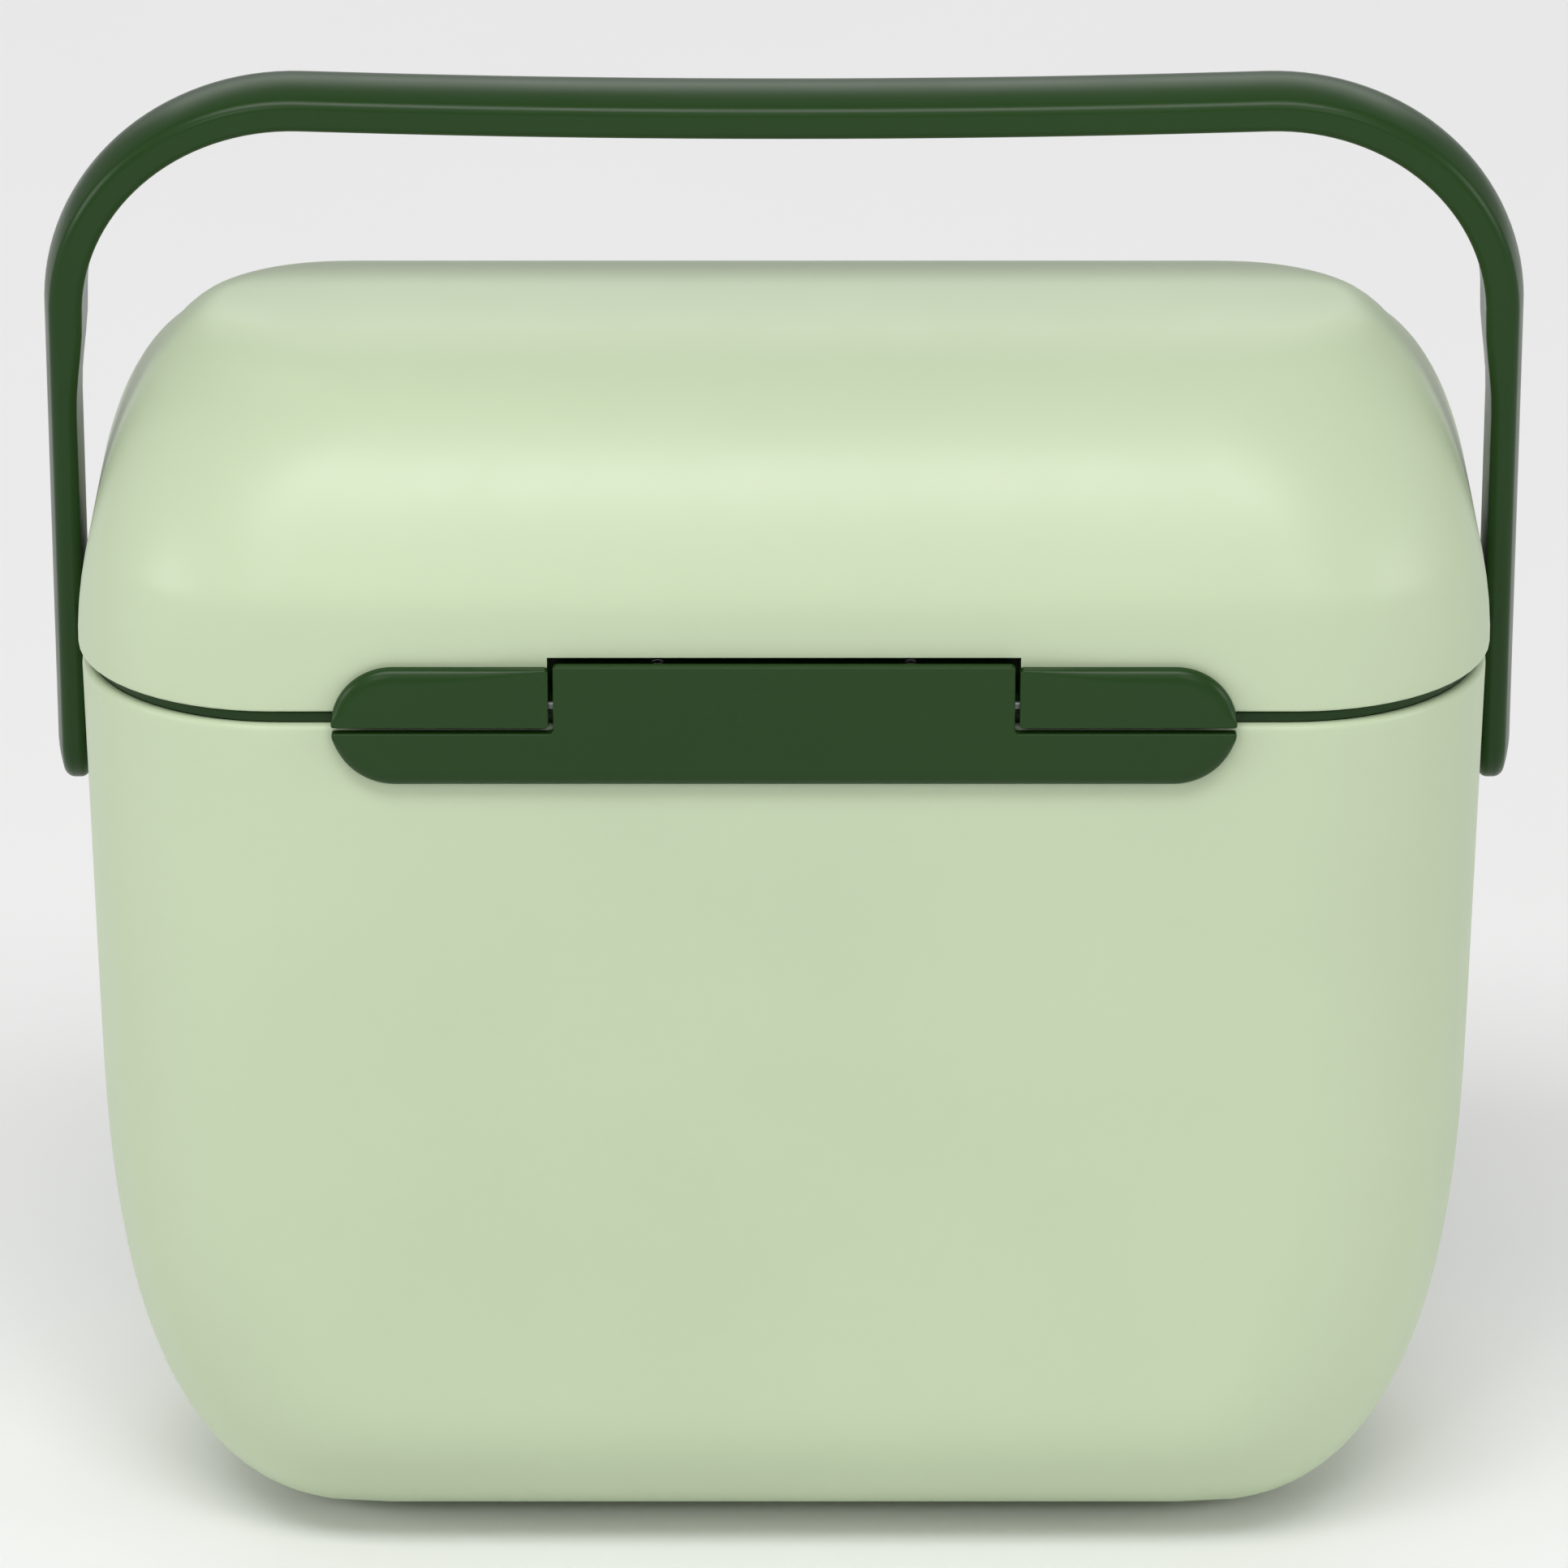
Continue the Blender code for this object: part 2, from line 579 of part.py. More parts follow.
def make_hinge():
    face = HALF_D + GAP
    back = face + 1.5 * MM
    body_spans = ((-60, -38), (-13, 13), (38, 60))
    lid_spans = ((-37.5, -13.5), (13.5, 37.5))
    leaves = (
        ("hinge_body_leaf", body_spans, -18.0 * MM, -5.5 * MM, HINGE_Z),
        ("hinge_lid_leaf", lid_spans, 2.6 * MM, 14.0 * MM, HINGE_Z),
    )
    for name, spans, low, high, axis_z in leaves:
        leaf = finish(box_bm((-HINGE_HALF, face, low), (HINGE_HALF, back, high)), name, "green", 0.4)
        extra = []
        near = high if low < axis_z else low
        for x0, x1 in spans:
            z0, z1 = sorted((near + (0.5 * MM if near > axis_z else -0.5 * MM), axis_z))
            extra.append(tool(box_bm((x0 * MM, face, z0), (x1 * MM, back, z1))))
            mid = (x0 + x1) / 2 * MM
            extra.append(tool(rod_bm((mid, HINGE_Y, HINGE_Z), "X", HINGE_R, (x1 - x0) * MM, 16)))
        join(leaf, extra)
        bore = rod_bm((0, HINGE_Y, HINGE_Z), "X", HINGE_BORE_R, 2 * HINGE_HALF + 6 * MM, 16)
        mid_z = (low + high) / 2 - (0.8 * MM if low < 0 else -0.8 * MM)
        holes = [tool(rod_bm((s * 48 * MM, face, mid_z), "Y", 2.2 * MM, 8 * MM, 12)) for s in (-1, 0, 1)]
        cut(leaf, [tool(bore)] + holes)
        for s, side in ((-1, "left"), (0, "middle"), (1, "right")):
            shank = screw_bm((s * 48 * MM, back + 0.4 * MM, mid_z), "Y", 1.9 * MM, 1.6 * MM, out=1)
            finish(shank, name.replace("leaf", "screw_") + side, "steel", 0.3, 1.0)
    pin = rod_bm((0, HINGE_Y, HINGE_Z), "X", HINGE_PIN_R, 2 * HINGE_HALF - 0.6 * MM, 16)
    finish(pin, "hinge_pin", "steel", 0.25, 1.0)


# ---------------------------------------------------------------- handle

def leg_middle(z):
    """Middle of the leg's thickness and half that thickness, at a height."""
    k = min(1.0, max(0.0, (z - THICKEN_FROM) / (THICKEN_TO - THICKEN_FROM)))
    inner = LEG_INNER + (LEG_OUTER - STRAP_T - LEG_INNER) * k * k * (3.0 - 2.0 * k)
    return (LEG_OUTER + inner) / 2, (LEG_OUTER - inner) / 2


def handle_path():
    """Middle line of the strap from one leg's end over the crossbar: x, z and half thickness."""
    half = []
    for s in (-11.7, -11.0, -9.0, -6.0, 0.0, 30.0, 86.0, 92.0, 98.0, 104.0, 109.0):
        z = PIVOT_Z + s * MM
        x, half_t = leg_middle(z)
        half.append((x, z, half_t))
    half_t = STRAP_T / 2
    centre = (LEG_OUTER - half_t - BEND_RX, BAR_Z - BEND_RZ)
    for i in range(9):
        a = math.radians(90 * i / 8)
        half.append((centre[0] + BEND_RX * math.cos(a), centre[1] + BEND_RZ * math.sin(a), half_t))
    for share in (0.66, 0.33, 0.1):
        half.append((centre[0] * share, BAR_Z - BAR_SAG * (1 - share ** 2), half_t))
    left = [(-x, z, t) for x, z, t in reversed(half)]
    return half + left


def strap_ring(point, ahead, half_y, half_t):
    """Rounded strap section across the path; +t is the outer side."""
    x, z = point
    nx, nz = ahead[1], -ahead[0]
    shape = []
    for sy, st in ((1, 1), (-1, 1), (-1, -1), (1, -1)):
        radius = STRAP_OUTER_R if st > 0 else STRAP_INNER_R
        cut_y = min(radius, half_y * 0.5)
        cut_t = min(radius, half_t * 0.85)
        for k in (0, 1, 2):
            a = math.radians(45 * k)
            ca, sa = (math.cos(a), math.sin(a)) if sy * st > 0 else (math.sin(a), math.cos(a))
            y = sy * (half_y - cut_y + cut_y * ca)
            t = st * (half_t - cut_t + cut_t * sa)
            shape.append((y, t))
    return [(x + nx * t, y, z + nz * t) for y, t in shape]


def make_handle():
    path = handle_path()
    rings = []
    n = len(path)
    for i, p in enumerate(path):
        p0 = path[max(0, i - 1)]
        p1 = path[min(n - 1, i + 1)]
        d = Vector((p1[0] - p0[0], p1[1] - p0[1])).normalized()
        below = PIVOT_Z - p[1]
        half_y = STRAP_HALF
        half_t = p[2]
        if below > 0:
            half_y = math.sqrt(max(0.0, STRAP_HALF ** 2 - below ** 2))
            half_t -= 1.4 * MM * max(0.0, below / STRAP_HALF - 0.7) / 0.3
        rings.append(strap_ring(p[:2], d, half_y, half_t))
    bail = finish(loft(rings), "handle_bail", "green", 0.35)
    inner = LEG_INNER
    depth = 5.4 * MM
    tools = []
    for s in (-1, 1):
        mid = s * (inner + depth / 2 - 2 * MM)
        tools.append(tool(rod_bm((mid, 0, PIVOT_Z), "X", 5.8 * MM, depth + 4 * MM, 16)))
    cut(bail, tools)
    set_origin(bail, (0, 0, PIVOT_Z))

    for s, side in ((-1, "left"), (1, "right")):
        start = inner + 0.1 * MM
        stop = inner + depth - 0.3 * MM
        ring = rod_bm((s * (start + stop) / 2, 0, PIVOT_Z), "X", 5.4 * MM, stop - start, 16)
        bush = finish(ring, "pivot_bush_" + side, "liner", 0.4)
        hole = rod_bm((s * (start + stop) / 2, 0, PIVOT_Z), "X", STUB_R + 0.35 * MM, stop - start + 2 * MM, 16)
        cut(bush, [tool(hole)])
        set_origin(bush, (0, 0, PIVOT_Z))

        wall = BODY_HALF_W - DRAFT_X * -PIVOT_Z
        tip = inner + depth - 0.4 * MM
        root = wall - SKIN - 0.4 * MM - 3 * MM
        shaft = rod_bm((s * (root + tip) / 2, 0, PIVOT_Z), "X", STUB_R, tip - root, 16)
        stub = finish(shaft, "pivot_stub_" + side, "steel", 0.3, 1.0)
        flange = rod_bm((s * (root + 1.3 * MM), 0, PIVOT_Z), "X", 8.4 * MM, 2.6 * MM, 16)
        join(stub, [tool(flange)])

        gap = inner - wall
        disc = rod_bm((s * (wall + gap / 2), 0, PIVOT_Z), "X", 9.5 * MM, gap - 0.5 * MM, 24)
        washer = finish(disc, "pivot_washer_" + side, "liner", 0.4)
        hole = rod_bm((s * (wall + gap / 2), 0, PIVOT_Z), "X", STUB_R + 0.35 * MM, gap + 2 * MM, 16)
        cut(washer, [tool(hole)])


clear_scene()
make_body()
make_lid()
make_latch()
make_hinge()
make_handle()
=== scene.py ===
"""Insulated cooler box: finished surfaces, materials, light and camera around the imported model.

Metres, +Z up, front (latch) facing -Y. Heights in the helpers are measured from SEAM, the lid's
lower edge, as in the model's own source.
"""
import math

import bmesh
import bpy
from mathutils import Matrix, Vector


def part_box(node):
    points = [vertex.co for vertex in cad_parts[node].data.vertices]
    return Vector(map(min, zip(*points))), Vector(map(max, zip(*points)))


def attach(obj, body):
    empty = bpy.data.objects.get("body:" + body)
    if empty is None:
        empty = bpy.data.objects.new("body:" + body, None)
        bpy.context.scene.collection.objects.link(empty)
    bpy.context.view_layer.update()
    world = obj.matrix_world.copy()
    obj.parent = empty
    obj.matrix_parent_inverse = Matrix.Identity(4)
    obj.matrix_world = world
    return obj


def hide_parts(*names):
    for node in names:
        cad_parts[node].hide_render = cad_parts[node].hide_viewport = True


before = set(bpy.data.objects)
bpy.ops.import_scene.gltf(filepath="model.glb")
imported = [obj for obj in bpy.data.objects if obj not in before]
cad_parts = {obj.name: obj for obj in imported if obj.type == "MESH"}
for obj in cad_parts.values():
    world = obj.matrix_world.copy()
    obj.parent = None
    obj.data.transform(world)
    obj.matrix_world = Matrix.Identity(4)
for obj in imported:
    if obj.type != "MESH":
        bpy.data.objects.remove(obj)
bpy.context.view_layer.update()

MM = 0.001
GAP = 0.3 * MM

# overall box
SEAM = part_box("lid_shell")[0][2]
HALF_W = 170.0 * MM          # lid
BODY_HALF_W = 169.4 * MM
HALF_D = 79.0 * MM
BODY_DEEP = 228.1 * MM
RIM_DROP = 3.4 * MM
RIM_R = 1.8 * MM
DRAFT_X = 0.0195
DRAFT_Y = 0.010
EDGE_R = 50.0 * MM
EDGE_SQUASH = 0.85
FOOT_RX = 67.4 * MM
FOOT_RZ = 133.6 * MM
FOOT_POWER = 2.8

# lid
LID_H = 76.2 * MM
LID_CORNER_R = 48.7 * MM
LID_SIDE_RX = 34.3 * MM
LID_SIDE_RZ = 72.1 * MM
LID_SIDE_POWER = 1.64
LID_CREASE = 26.4 * MM
LID_VAULT_NY = 1.14
LID_VAULT_MY = 3.25
CREASE_SOFT = 1.3 * MM
LID_EDGE_R = 0.8 * MM

# walls
SKIN = 2.5 * MM
BODY_FLOOR = 4.0 * MM
LINER_OUT = 18.0 * MM
LINER_IN = 20.0 * MM
LINER_FLOOR_OUT = 21.0 * MM
LINER_FLOOR_IN = 23.0 * MM
FLANGE_LOW = 3.3 * MM
FLANGE_TOP = 5.3 * MM
LID_LINER_IN = 24.0 * MM
LID_LINER_TOP = 50.0 * MM
HOLLOW_START = 26.0 * MM
HOLLOW_ROUND = 18.0 * MM

# latch
LATCH_FRONT = -83.0 * MM
LATCH_HALF = 107.0 * MM
LATCH_MID_Z = -2.7 * MM
LATCH_R = 14.8 * MM
LOBE_LOW = -2.6 * MM
BAR_TOP = -4.0 * MM
TONGUE_HALF = 54.5 * MM
TONGUE_TOP = 12.9 * MM
LOBE_INNER = 55.6 * MM
PIN_Y = -80.2 * MM
PIN_Z = 2.4 * MM
PIN_R = 1.2 * MM
LEVER_BACK = -80.3 * MM
POCKET_TOP = 13.9 * MM
POCKET_BACK = -67.6 * MM
BLOCK_HALF = 63.0 * MM
WIDE_FILLET = 2.4 * MM       # along the latch's round outer edges
FINE_FILLET = 0.45 * MM      # along its slits
FILLET_STRETCH = 1.7         # the wide fillet runs this much further over the face than it is deep
LOBE_PLATE = 2.7 * MM        # the lobes stand this thick on a smaller foot, which leaves a shadow groove
LOBE_FOOT_INSET = 0.9 * MM

# back hinge
HINGE_Y = 79.4 * MM
HINGE_Z = -1.5 * MM
HINGE_R = 3.6 * MM
HINGE_PIN_R = 1.5 * MM
HINGE_BORE_R = 1.8 * MM
HINGE_HALF = 60.0 * MM
LEAF_T = 1.5 * MM

# handle
PIVOT_Z = -36.0 * MM
LEG_OUTER = 178.2 * MM
LEG_INNER = 170.5 * MM       # as high as the opening lid sweeps; the leg thickens inwards above
THICKEN_FROM = 50.0 * MM
THICKEN_TO = 74.0 * MM
STRAP_HALF = 12.0 * MM
STRAP_T = 9.7 * MM
STRAP_OUTER_R = 1.8 * MM
STRAP_INNER_R = 2.2 * MM
STRAP_CROWN = 2.2 * MM       # fall of the outer face from its middle to its rims
BAR_SWELL = 1.0 * MM         # the crossbar's middle stands this much fuller than the legs'
BAR_Z = 126.2 * MM
BAR_SAG = 1.9 * MM
BEND_RX = 56.0 * MM
BEND_RZ = 51.5 * MM
STUB_R = 4.0 * MM
BUSH_R = 5.4 * MM
BUSH_DEEP = 5.4 * MM
WASHER_R = 9.5 * MM
RUN_GAP = 0.35 * MM          # round a stub or pin that something turns on
PIN_GAP = 0.15 * MM          # round the lever's pin

# feet and catch
FOOT_X = 78.0 * MM
FOOT_Y = 17.0 * MM
FOOT_SOCKET_R = 8.4 * MM
FOOT_SOCKET_DEEP = 4.0 * MM
CATCH_HALF = 32.0 * MM
CATCH_LOW = -16.8 * MM
CATCH_TOP = -6.0 * MM

# studio: floor, world, camera and lights as (name, place, aim, size, watts)
FLOOR_ALBEDO = 0.86
FLOOR_HALF = 12.0
WORLD_STRENGTH = 0.38
CAMERA_LENS = 207.8
CAMERA_SENSOR = 36.0
CAMERA_ELEVATION = math.radians(22.5)
CAMERA_DISTANCE = 2.230
CAMERA_DROP = 51.0 * MM      # the camera looks at the middle of the box, this far below the seam
BOX_AIM = (0.0, 0.0, 0.2)
LIGHTS = (
    ("key", (-0.2, -1.55, 2.7), BOX_AIM, (2.4, 0.8), 48),
    ("side_left", (-6.0, -2.0, 2.2), BOX_AIM, (3.0, 2.0), 90),
    ("side_right", (6.0, -2.0, 2.2), BOX_AIM, (3.0, 2.0), 80),
    ("spot_left", (-0.8, -2.5, 1.6), BOX_AIM, (0.35, 0.35), 5),
    ("spot_right", (0.8, -2.5, 1.6), BOX_AIM, (0.35, 0.35), 4),
    ("back_wall", (0.0, 3.0, 1.4), BOX_AIM, (4.0, 0.9), 6),
    ("floor_wash", (0.0, 3.8, 2.6), (0.0, 3.2, 0.0), (5.0, 2.5), 50),
)


# ---------------------------------------------------------------- materials

def linear(r, g, b):
    """A linear colour from three 0-255 display values."""
    out = []
    for v in (r, g, b):
        v = v / 255.0
        out.append(v / 12.92 if v <= 0.04045 else ((v + 0.055) / 1.055) ** 2.4)
    return (*out, 1.0)


def shade(colour, factor):
    return (colour[0] * factor, colour[1] * factor, colour[2] * factor, 1.0)


def noise(nodes, links, coords, scale, detail=3.0):
    tex = nodes.new("ShaderNodeTexNoise")
    tex.inputs["Scale"].default_value = scale
    tex.inputs["Detail"].default_value = detail
    links.new(coords, tex.inputs["Vector"])
    return tex.outputs["Fac"]


def mapped(nodes, links, value, low, high):
    node = nodes.new("ShaderNodeMapRange")
    node.inputs["From Min"].default_value = 0.3
    node.inputs["From Max"].default_value = 0.7
    node.inputs["To Min"].default_value = low
    node.inputs["To Max"].default_value = high
    links.new(value, node.inputs["Value"])
    return node.outputs["Result"]


def moulded(name, colour, rough, spread=0.03, tone=0.03, grain=2200.0, bump=0.05, metal=0.0, ior=1.5):
    """Moulded or machined stock: broad tone drift, roughness drift and a fine surface grain."""
    mat = bpy.data.materials.new(name)
    mat.use_nodes = True
    nodes = mat.node_tree.nodes
    links = mat.node_tree.links
    bsdf = nodes["Principled BSDF"]
    bsdf.inputs["Metallic"].default_value = metal
    bsdf.inputs["IOR"].default_value = ior
    coords = nodes.new("ShaderNodeTexCoord").outputs["Object"]
    mix = nodes.new("ShaderNodeMix")
    mix.data_type = "RGBA"
    mix.inputs["A"].default_value = shade(colour, 1.0 - tone)
    mix.inputs["B"].default_value = shade(colour, 1.0 + tone)
    links.new(mapped(nodes, links, noise(nodes, links, coords, 7.0), 0.0, 1.0), mix.inputs["Factor"])
    links.new(mix.outputs["Result"], bsdf.inputs["Base Color"])
    broad = noise(nodes, links, coords, 45.0)
    links.new(mapped(nodes, links, broad, rough - spread, rough + spread), bsdf.inputs["Roughness"])
    fine = noise(nodes, links, coords, grain, 2.0)
    relief = nodes.new("ShaderNodeBump")
    relief.inputs["Strength"].default_value = bump
    relief.inputs["Distance"].default_value = 0.1 * MM
    links.new(fine, relief.inputs["Height"])
    links.new(relief.outputs["Normal"], bsdf.inputs["Normal"])
    return mat


SAGE = linear(190, 205, 172)
GREEN = linear(31, 60, 21)
STEEL = linear(196, 197, 198)
# a darker copy of the steel: painted shade for the latch pin where it sits in the slits, which also dims its
# glint
PIN_SHADE_STEEL = linear(120, 122, 122)
MATS = {
    "sage_shell": moulded("sage_satin", SAGE, 0.38, bump=0.04, ior=1.42),
    "green_plastic": moulded("green_satin", GREEN, 0.30, tone=0.05, bump=0.05, ior=1.3),
    "foam_core": moulded("foam_cells", linear(236, 226, 190), 0.9, tone=0.06, grain=900.0, bump=0.6),
    "liner_plastic": moulded("liner_gloss", linear(232, 234, 228), 0.3, tone=0.015, bump=0.04),
    "bearing_plastic": moulded("bearing_dark", linear(52, 60, 50), 0.45, tone=0.05),
    "pin_steel_shaded": moulded("steel_painted_shade", PIN_SHADE_STEEL, 0.45, spread=0.08, grain=3500.0, metal=1.0),
    "steel_hardware": moulded("steel_brushed", STEEL, 0.28, spread=0.08, grain=3500.0, metal=1.0),
    "rubber_feet": moulded("rubber_matt", linear(48, 52, 46), 0.75, tone=0.08, grain=1500.0, bump=0.3),
    "gasket_rubber": moulded("gasket_soft", linear(150, 154, 146), 0.6, tone=0.04, grain=1500.0, bump=0.15),
}


# ---------------------------------------------------------------- mesh helpers

def quarter_turn(steps, first=0):
    """Angles from 0 to 90 degrees in equal steps."""
    return [math.pi / 2 * i / steps for i in range(first, steps + 1)]


def lift(x, y, z):
    return Vector((x, y, z + SEAM))


def clean(bm):
    bmesh.ops.remove_doubles(bm, verts=bm.verts, dist=2e-6)
    bmesh.ops.dissolve_degenerate(bm, edges=bm.edges, dist=1e-6)
    bmesh.ops.recalc_face_normals(bm, faces=bm.faces)
    return bm


def as_object(bm, name):
    mesh = bpy.data.meshes.new(name)
    clean(bm).to_mesh(mesh)
    bm.free()
    ob = bpy.data.objects.new(name, mesh)
    bpy.context.scene.collection.objects.link(ob)
    return ob


def piece(ob, slot, body, *nodes, angle=32.0, even=False):
    """Shade, paint and hang a finished mesh on its body in place of its CAD nodes."""
    ob.data.materials.clear()
    ob.data.materials.append(MATS[slot])
    ob.data.shade_smooth()
    ob.data.set_sharp_from_angle(angle=math.radians(angle))
    if even:
        mod = ob.modifiers.new("even_normals", "WEIGHTED_NORMAL")
        mod.keep_sharp = True
    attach(ob, body)
    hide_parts(*nodes)
    return ob


def boolean(ob, tools, operation="DIFFERENCE"):
    for item in tools:
        mod = ob.modifiers.new("cut", "BOOLEAN")
        mod.operation = operation
        mod.solver = "EXACT"
        mod.use_self = operation == "UNION"
        mod.object = item
    bpy.context.view_layer.update()
    graph = bpy.context.evaluated_depsgraph_get()
    mesh = bpy.data.meshes.new_from_object(ob.evaluated_get(graph))
    ob.modifiers.clear()
    old = ob.data
    ob.data = mesh
    bpy.data.meshes.remove(old)
    for item in tools:
        bpy.data.objects.remove(item, do_unlink=True)
    return ob


def skin(rings, closed=False):
    """Faces between equal rings of (x, y, z); both ends capped, or the loop closed."""
    bm = bmesh.new()
    rows = [[bm.verts.new(lift(*p)) for p in ring] for ring in rings]
    n = len(rows[0])
    pairs = list(zip(rows, rows[1:]))
    if closed:
        pairs.append((rows[-1], rows[0]))
    for low, high in pairs:
        for i in range(n):
            j = (i + 1) % n
            bm.faces.new((low[i], low[j], high[j], high[i]))
    if not closed:
        bm.faces.new(rows[0][::-1])
        bm.faces.new(rows[-1])
    return bm


def box(lo, hi):
    """A cutter or block between two corners."""
    bm = bmesh.new()
    bmesh.ops.create_cube(bm, size=1.0)
    size = [h - l for l, h in zip(lo, hi)]
    mid = [(h + l) / 2 for l, h in zip(lo, hi)]
    bmesh.ops.scale(bm, vec=size, verts=bm.verts)
    bmesh.ops.translate(bm, vec=lift(*mid), verts=bm.verts)
    return as_object(bm, "tool")


def turned(profile, centre, axis, segments=48):
    """A profile of (radius, along) spun about an axis through centre."""
    bm = bmesh.new()
    rows = []
    for radius, along in profile:
        row = []
        for i in range(segments):
            a = 2 * math.pi * i / segments
            c, s = radius * math.cos(a), radius * math.sin(a)
            local = {"X": (along, c, s), "Y": (c, along, s), "Z": (c, s, along)}[axis]
            row.append(bm.verts.new(lift(*[l + m for l, m in zip(local, centre)])))
        rows.append(row)
    for low, high in zip(rows, rows[1:]):
        for i in range(segments):
            j = (i + 1) % segments
            bm.faces.new((low[i], low[j], high[j], high[i]))
    bm.faces.new(rows[0][::-1])
    bm.faces.new(rows[-1])
    return as_object(bm, "turned")


def rod(centre, axis, radius, length, segments=48):
    half = length / 2
    return turned(((radius, -half), (radius, half)), centre, axis, segments)


def rounded_rod(centre, axis, radius, length, edge, segments=48):
    """A rod whose two rims are rounded."""
    half = length / 2
    profile = []
    for a in quarter_turn(5):
        profile.append((radius - edge + edge * math.sin(a), -half + edge - edge * math.cos(a)))
    profile += [(r, -along) for r, along in reversed(profile)]
    return turned(profile, centre, axis, segments)


def ring_piece(centre, axis, outer, inner, length, edge=0.25 * MM):
    """A plain bearing ring with softened rims."""
    return boolean(rounded_rod(centre, axis, outer, length, edge), [rod(centre, axis, inner, length * 2)])


# ---------------------------------------------------------------- box sections

def straight(start, stop, shares):
    return [start + (stop - start) * s for s in shares]


def full_ring(quarter, z):
    """A full ring from a quarter that runs from the side (+X) round to the front (-Y).

    Extra points along the flats keep their shading flat.
    """
    shares = (0.15, 0.5, 0.85, 0.97)
    side_x, side_y = quarter[0]
    front_x, front_y = quarter[-1]
    run = [(side_x, y) for y in straight(0.0, side_y, shares)] + quarter
    run += [(x, front_y) for x in straight(front_x, 0.0, (0.02, 0.1, 0.4, 0.8))]
    ring = [(x, -y) for x, y in run]
    ring += [(-x, -y) for x, y in reversed(run)]
    ring += [(-x, y) for x, y in run]
    ring += [(x, y) for x, y in reversed(run)]
    return [(x, y, z) for x, y in ring]


def power_corner(k, power):
    return max(0.0, 1.0 - min(1.0, max(0.0, k)) ** power) ** (1.0 / power)


def body_ring(z, off, floor, steps=16):
    """Horizontal section of the body, off inside its skin; floor is the offset below."""
    drop = -z
    half_w = BODY_HALF_W - DRAFT_X * drop - off
    half_d = HALF_D - DRAFT_Y * drop - off
    edge = EDGE_R - off
    rx = FOOT_RX - off
    rz = FOOT_RZ - floor
    below = max(0.0, drop - (BODY_DEEP - FOOT_RZ))
    squash = EDGE_SQUASH * (EDGE_R - floor) / edge
    most = min(1.0, (rz - below) / (squash * edge)) if below > 0 else 1.0
    last = math.acos(min(1.0, max(0.0, 1.0 - most)))
    quarter = []
    for i in range(steps + 1):
        psi = last * i / steps
        inset = edge * (1.0 - math.cos(psi))
        k = below / (rz - inset * squash)
        x = half_w - rx + (rx - inset) * power_corner(k, FOOT_POWER)
        quarter.append((x, half_d - edge + edge * math.sin(psi)))
    return full_ring(quarter, z)


def body_levels(floor, top, count):
    """Heights from the underside to the top, closer together where the corner turns."""
    bottom = -(BODY_DEEP - floor)
    start = -(BODY_DEEP - FOOT_RZ)
    levels = []
    for i in range(count, 0, -1):
        k = math.sin(math.pi / 2 * i / count) ** (2.0 / FOOT_POWER)
        levels.append(start + (bottom - start) * k)
    levels[0] = bottom
    levels += straight(start, top, (0.0, 0.25, 0.5, 0.75, 0.9, 0.97, 1.0))
    return levels


def soft_over(value, soft):
    t = value / soft
    return value if t > 30 else soft * math.log1p(math.exp(t))


def vault_depth(z, off):
    """Half depth of the lid at a height."""
    rise = soft_over(z - LID_CREASE, CREASE_SOFT)
    k = min(1.0, rise / (LID_H - LID_CREASE - off))
    return (HALF_D - off) * (1.0 - k ** LID_VAULT_NY) ** (1.0 / LID_VAULT_MY)


def lid_ring(z, off, steps=16):
    k = (z - (LID_H - LID_SIDE_RZ)) / (LID_SIDE_RZ - off)
    a = HALF_W - off - (LID_SIDE_RX - off) * (1.0 - power_corner(k, LID_SIDE_POWER))
    b = vault_depth(z, off)
    c = min(LID_CORNER_R - off, b - 0.2 * MM)
    return corner_ring(a, b, c, z, steps)


def corner_ring(a, b, c, z, steps=16):
    quarter = []
    for t in quarter_turn(steps):
        quarter.append((a - c + c * math.cos(t), b - c + c * math.sin(t)))
    return full_ring(quarter, z)


def flange_ring(z, off):
    """A ring inside the lid with upright walls."""
    return corner_ring(HALF_W - off, HALF_D - off, max(8 * MM, LID_CORNER_R - off), z)


def vault_height(depth, off):
    """Height at which the vault is this deep, found by halving."""
    low, high = LID_CREASE, LID_H - off
    for _ in range(60):
        mid = (low + high) / 2
        if vault_depth(mid, off) > depth:
            low = mid
        else:
            high = mid
    return low


def lid_levels(off, start, count=22):
    """Heights up the lid: even on the skirt, close at the crease, then even steps across the vault."""
    flat = straight(start, LID_CREASE - 5 * MM, (0.0, 0.12, 0.4, 0.7, 1.0))
    turn = [LID_CREASE + d * MM for d in (-3.6, -2.4, -1.4, -0.6, 0.1, 0.8, 1.6, 2.6)]
    top_share = vault_depth(turn[-1], off) / (HALF_D - off)
    vault = []
    for i in range(1, count + 1):
        share = top_share * math.cos(math.pi / 2 * i / (count + 0.6))
        vault.append(vault_height((HALF_D - off) * share, off))
    return flat + turn + vault


# ---------------------------------------------------------------- body

def hinge_trough():
    return rod((0, HINGE_Y, HINGE_Z), "X", HINGE_R + 0.5 * MM, 2 * HINGE_HALF + 2 * MM)


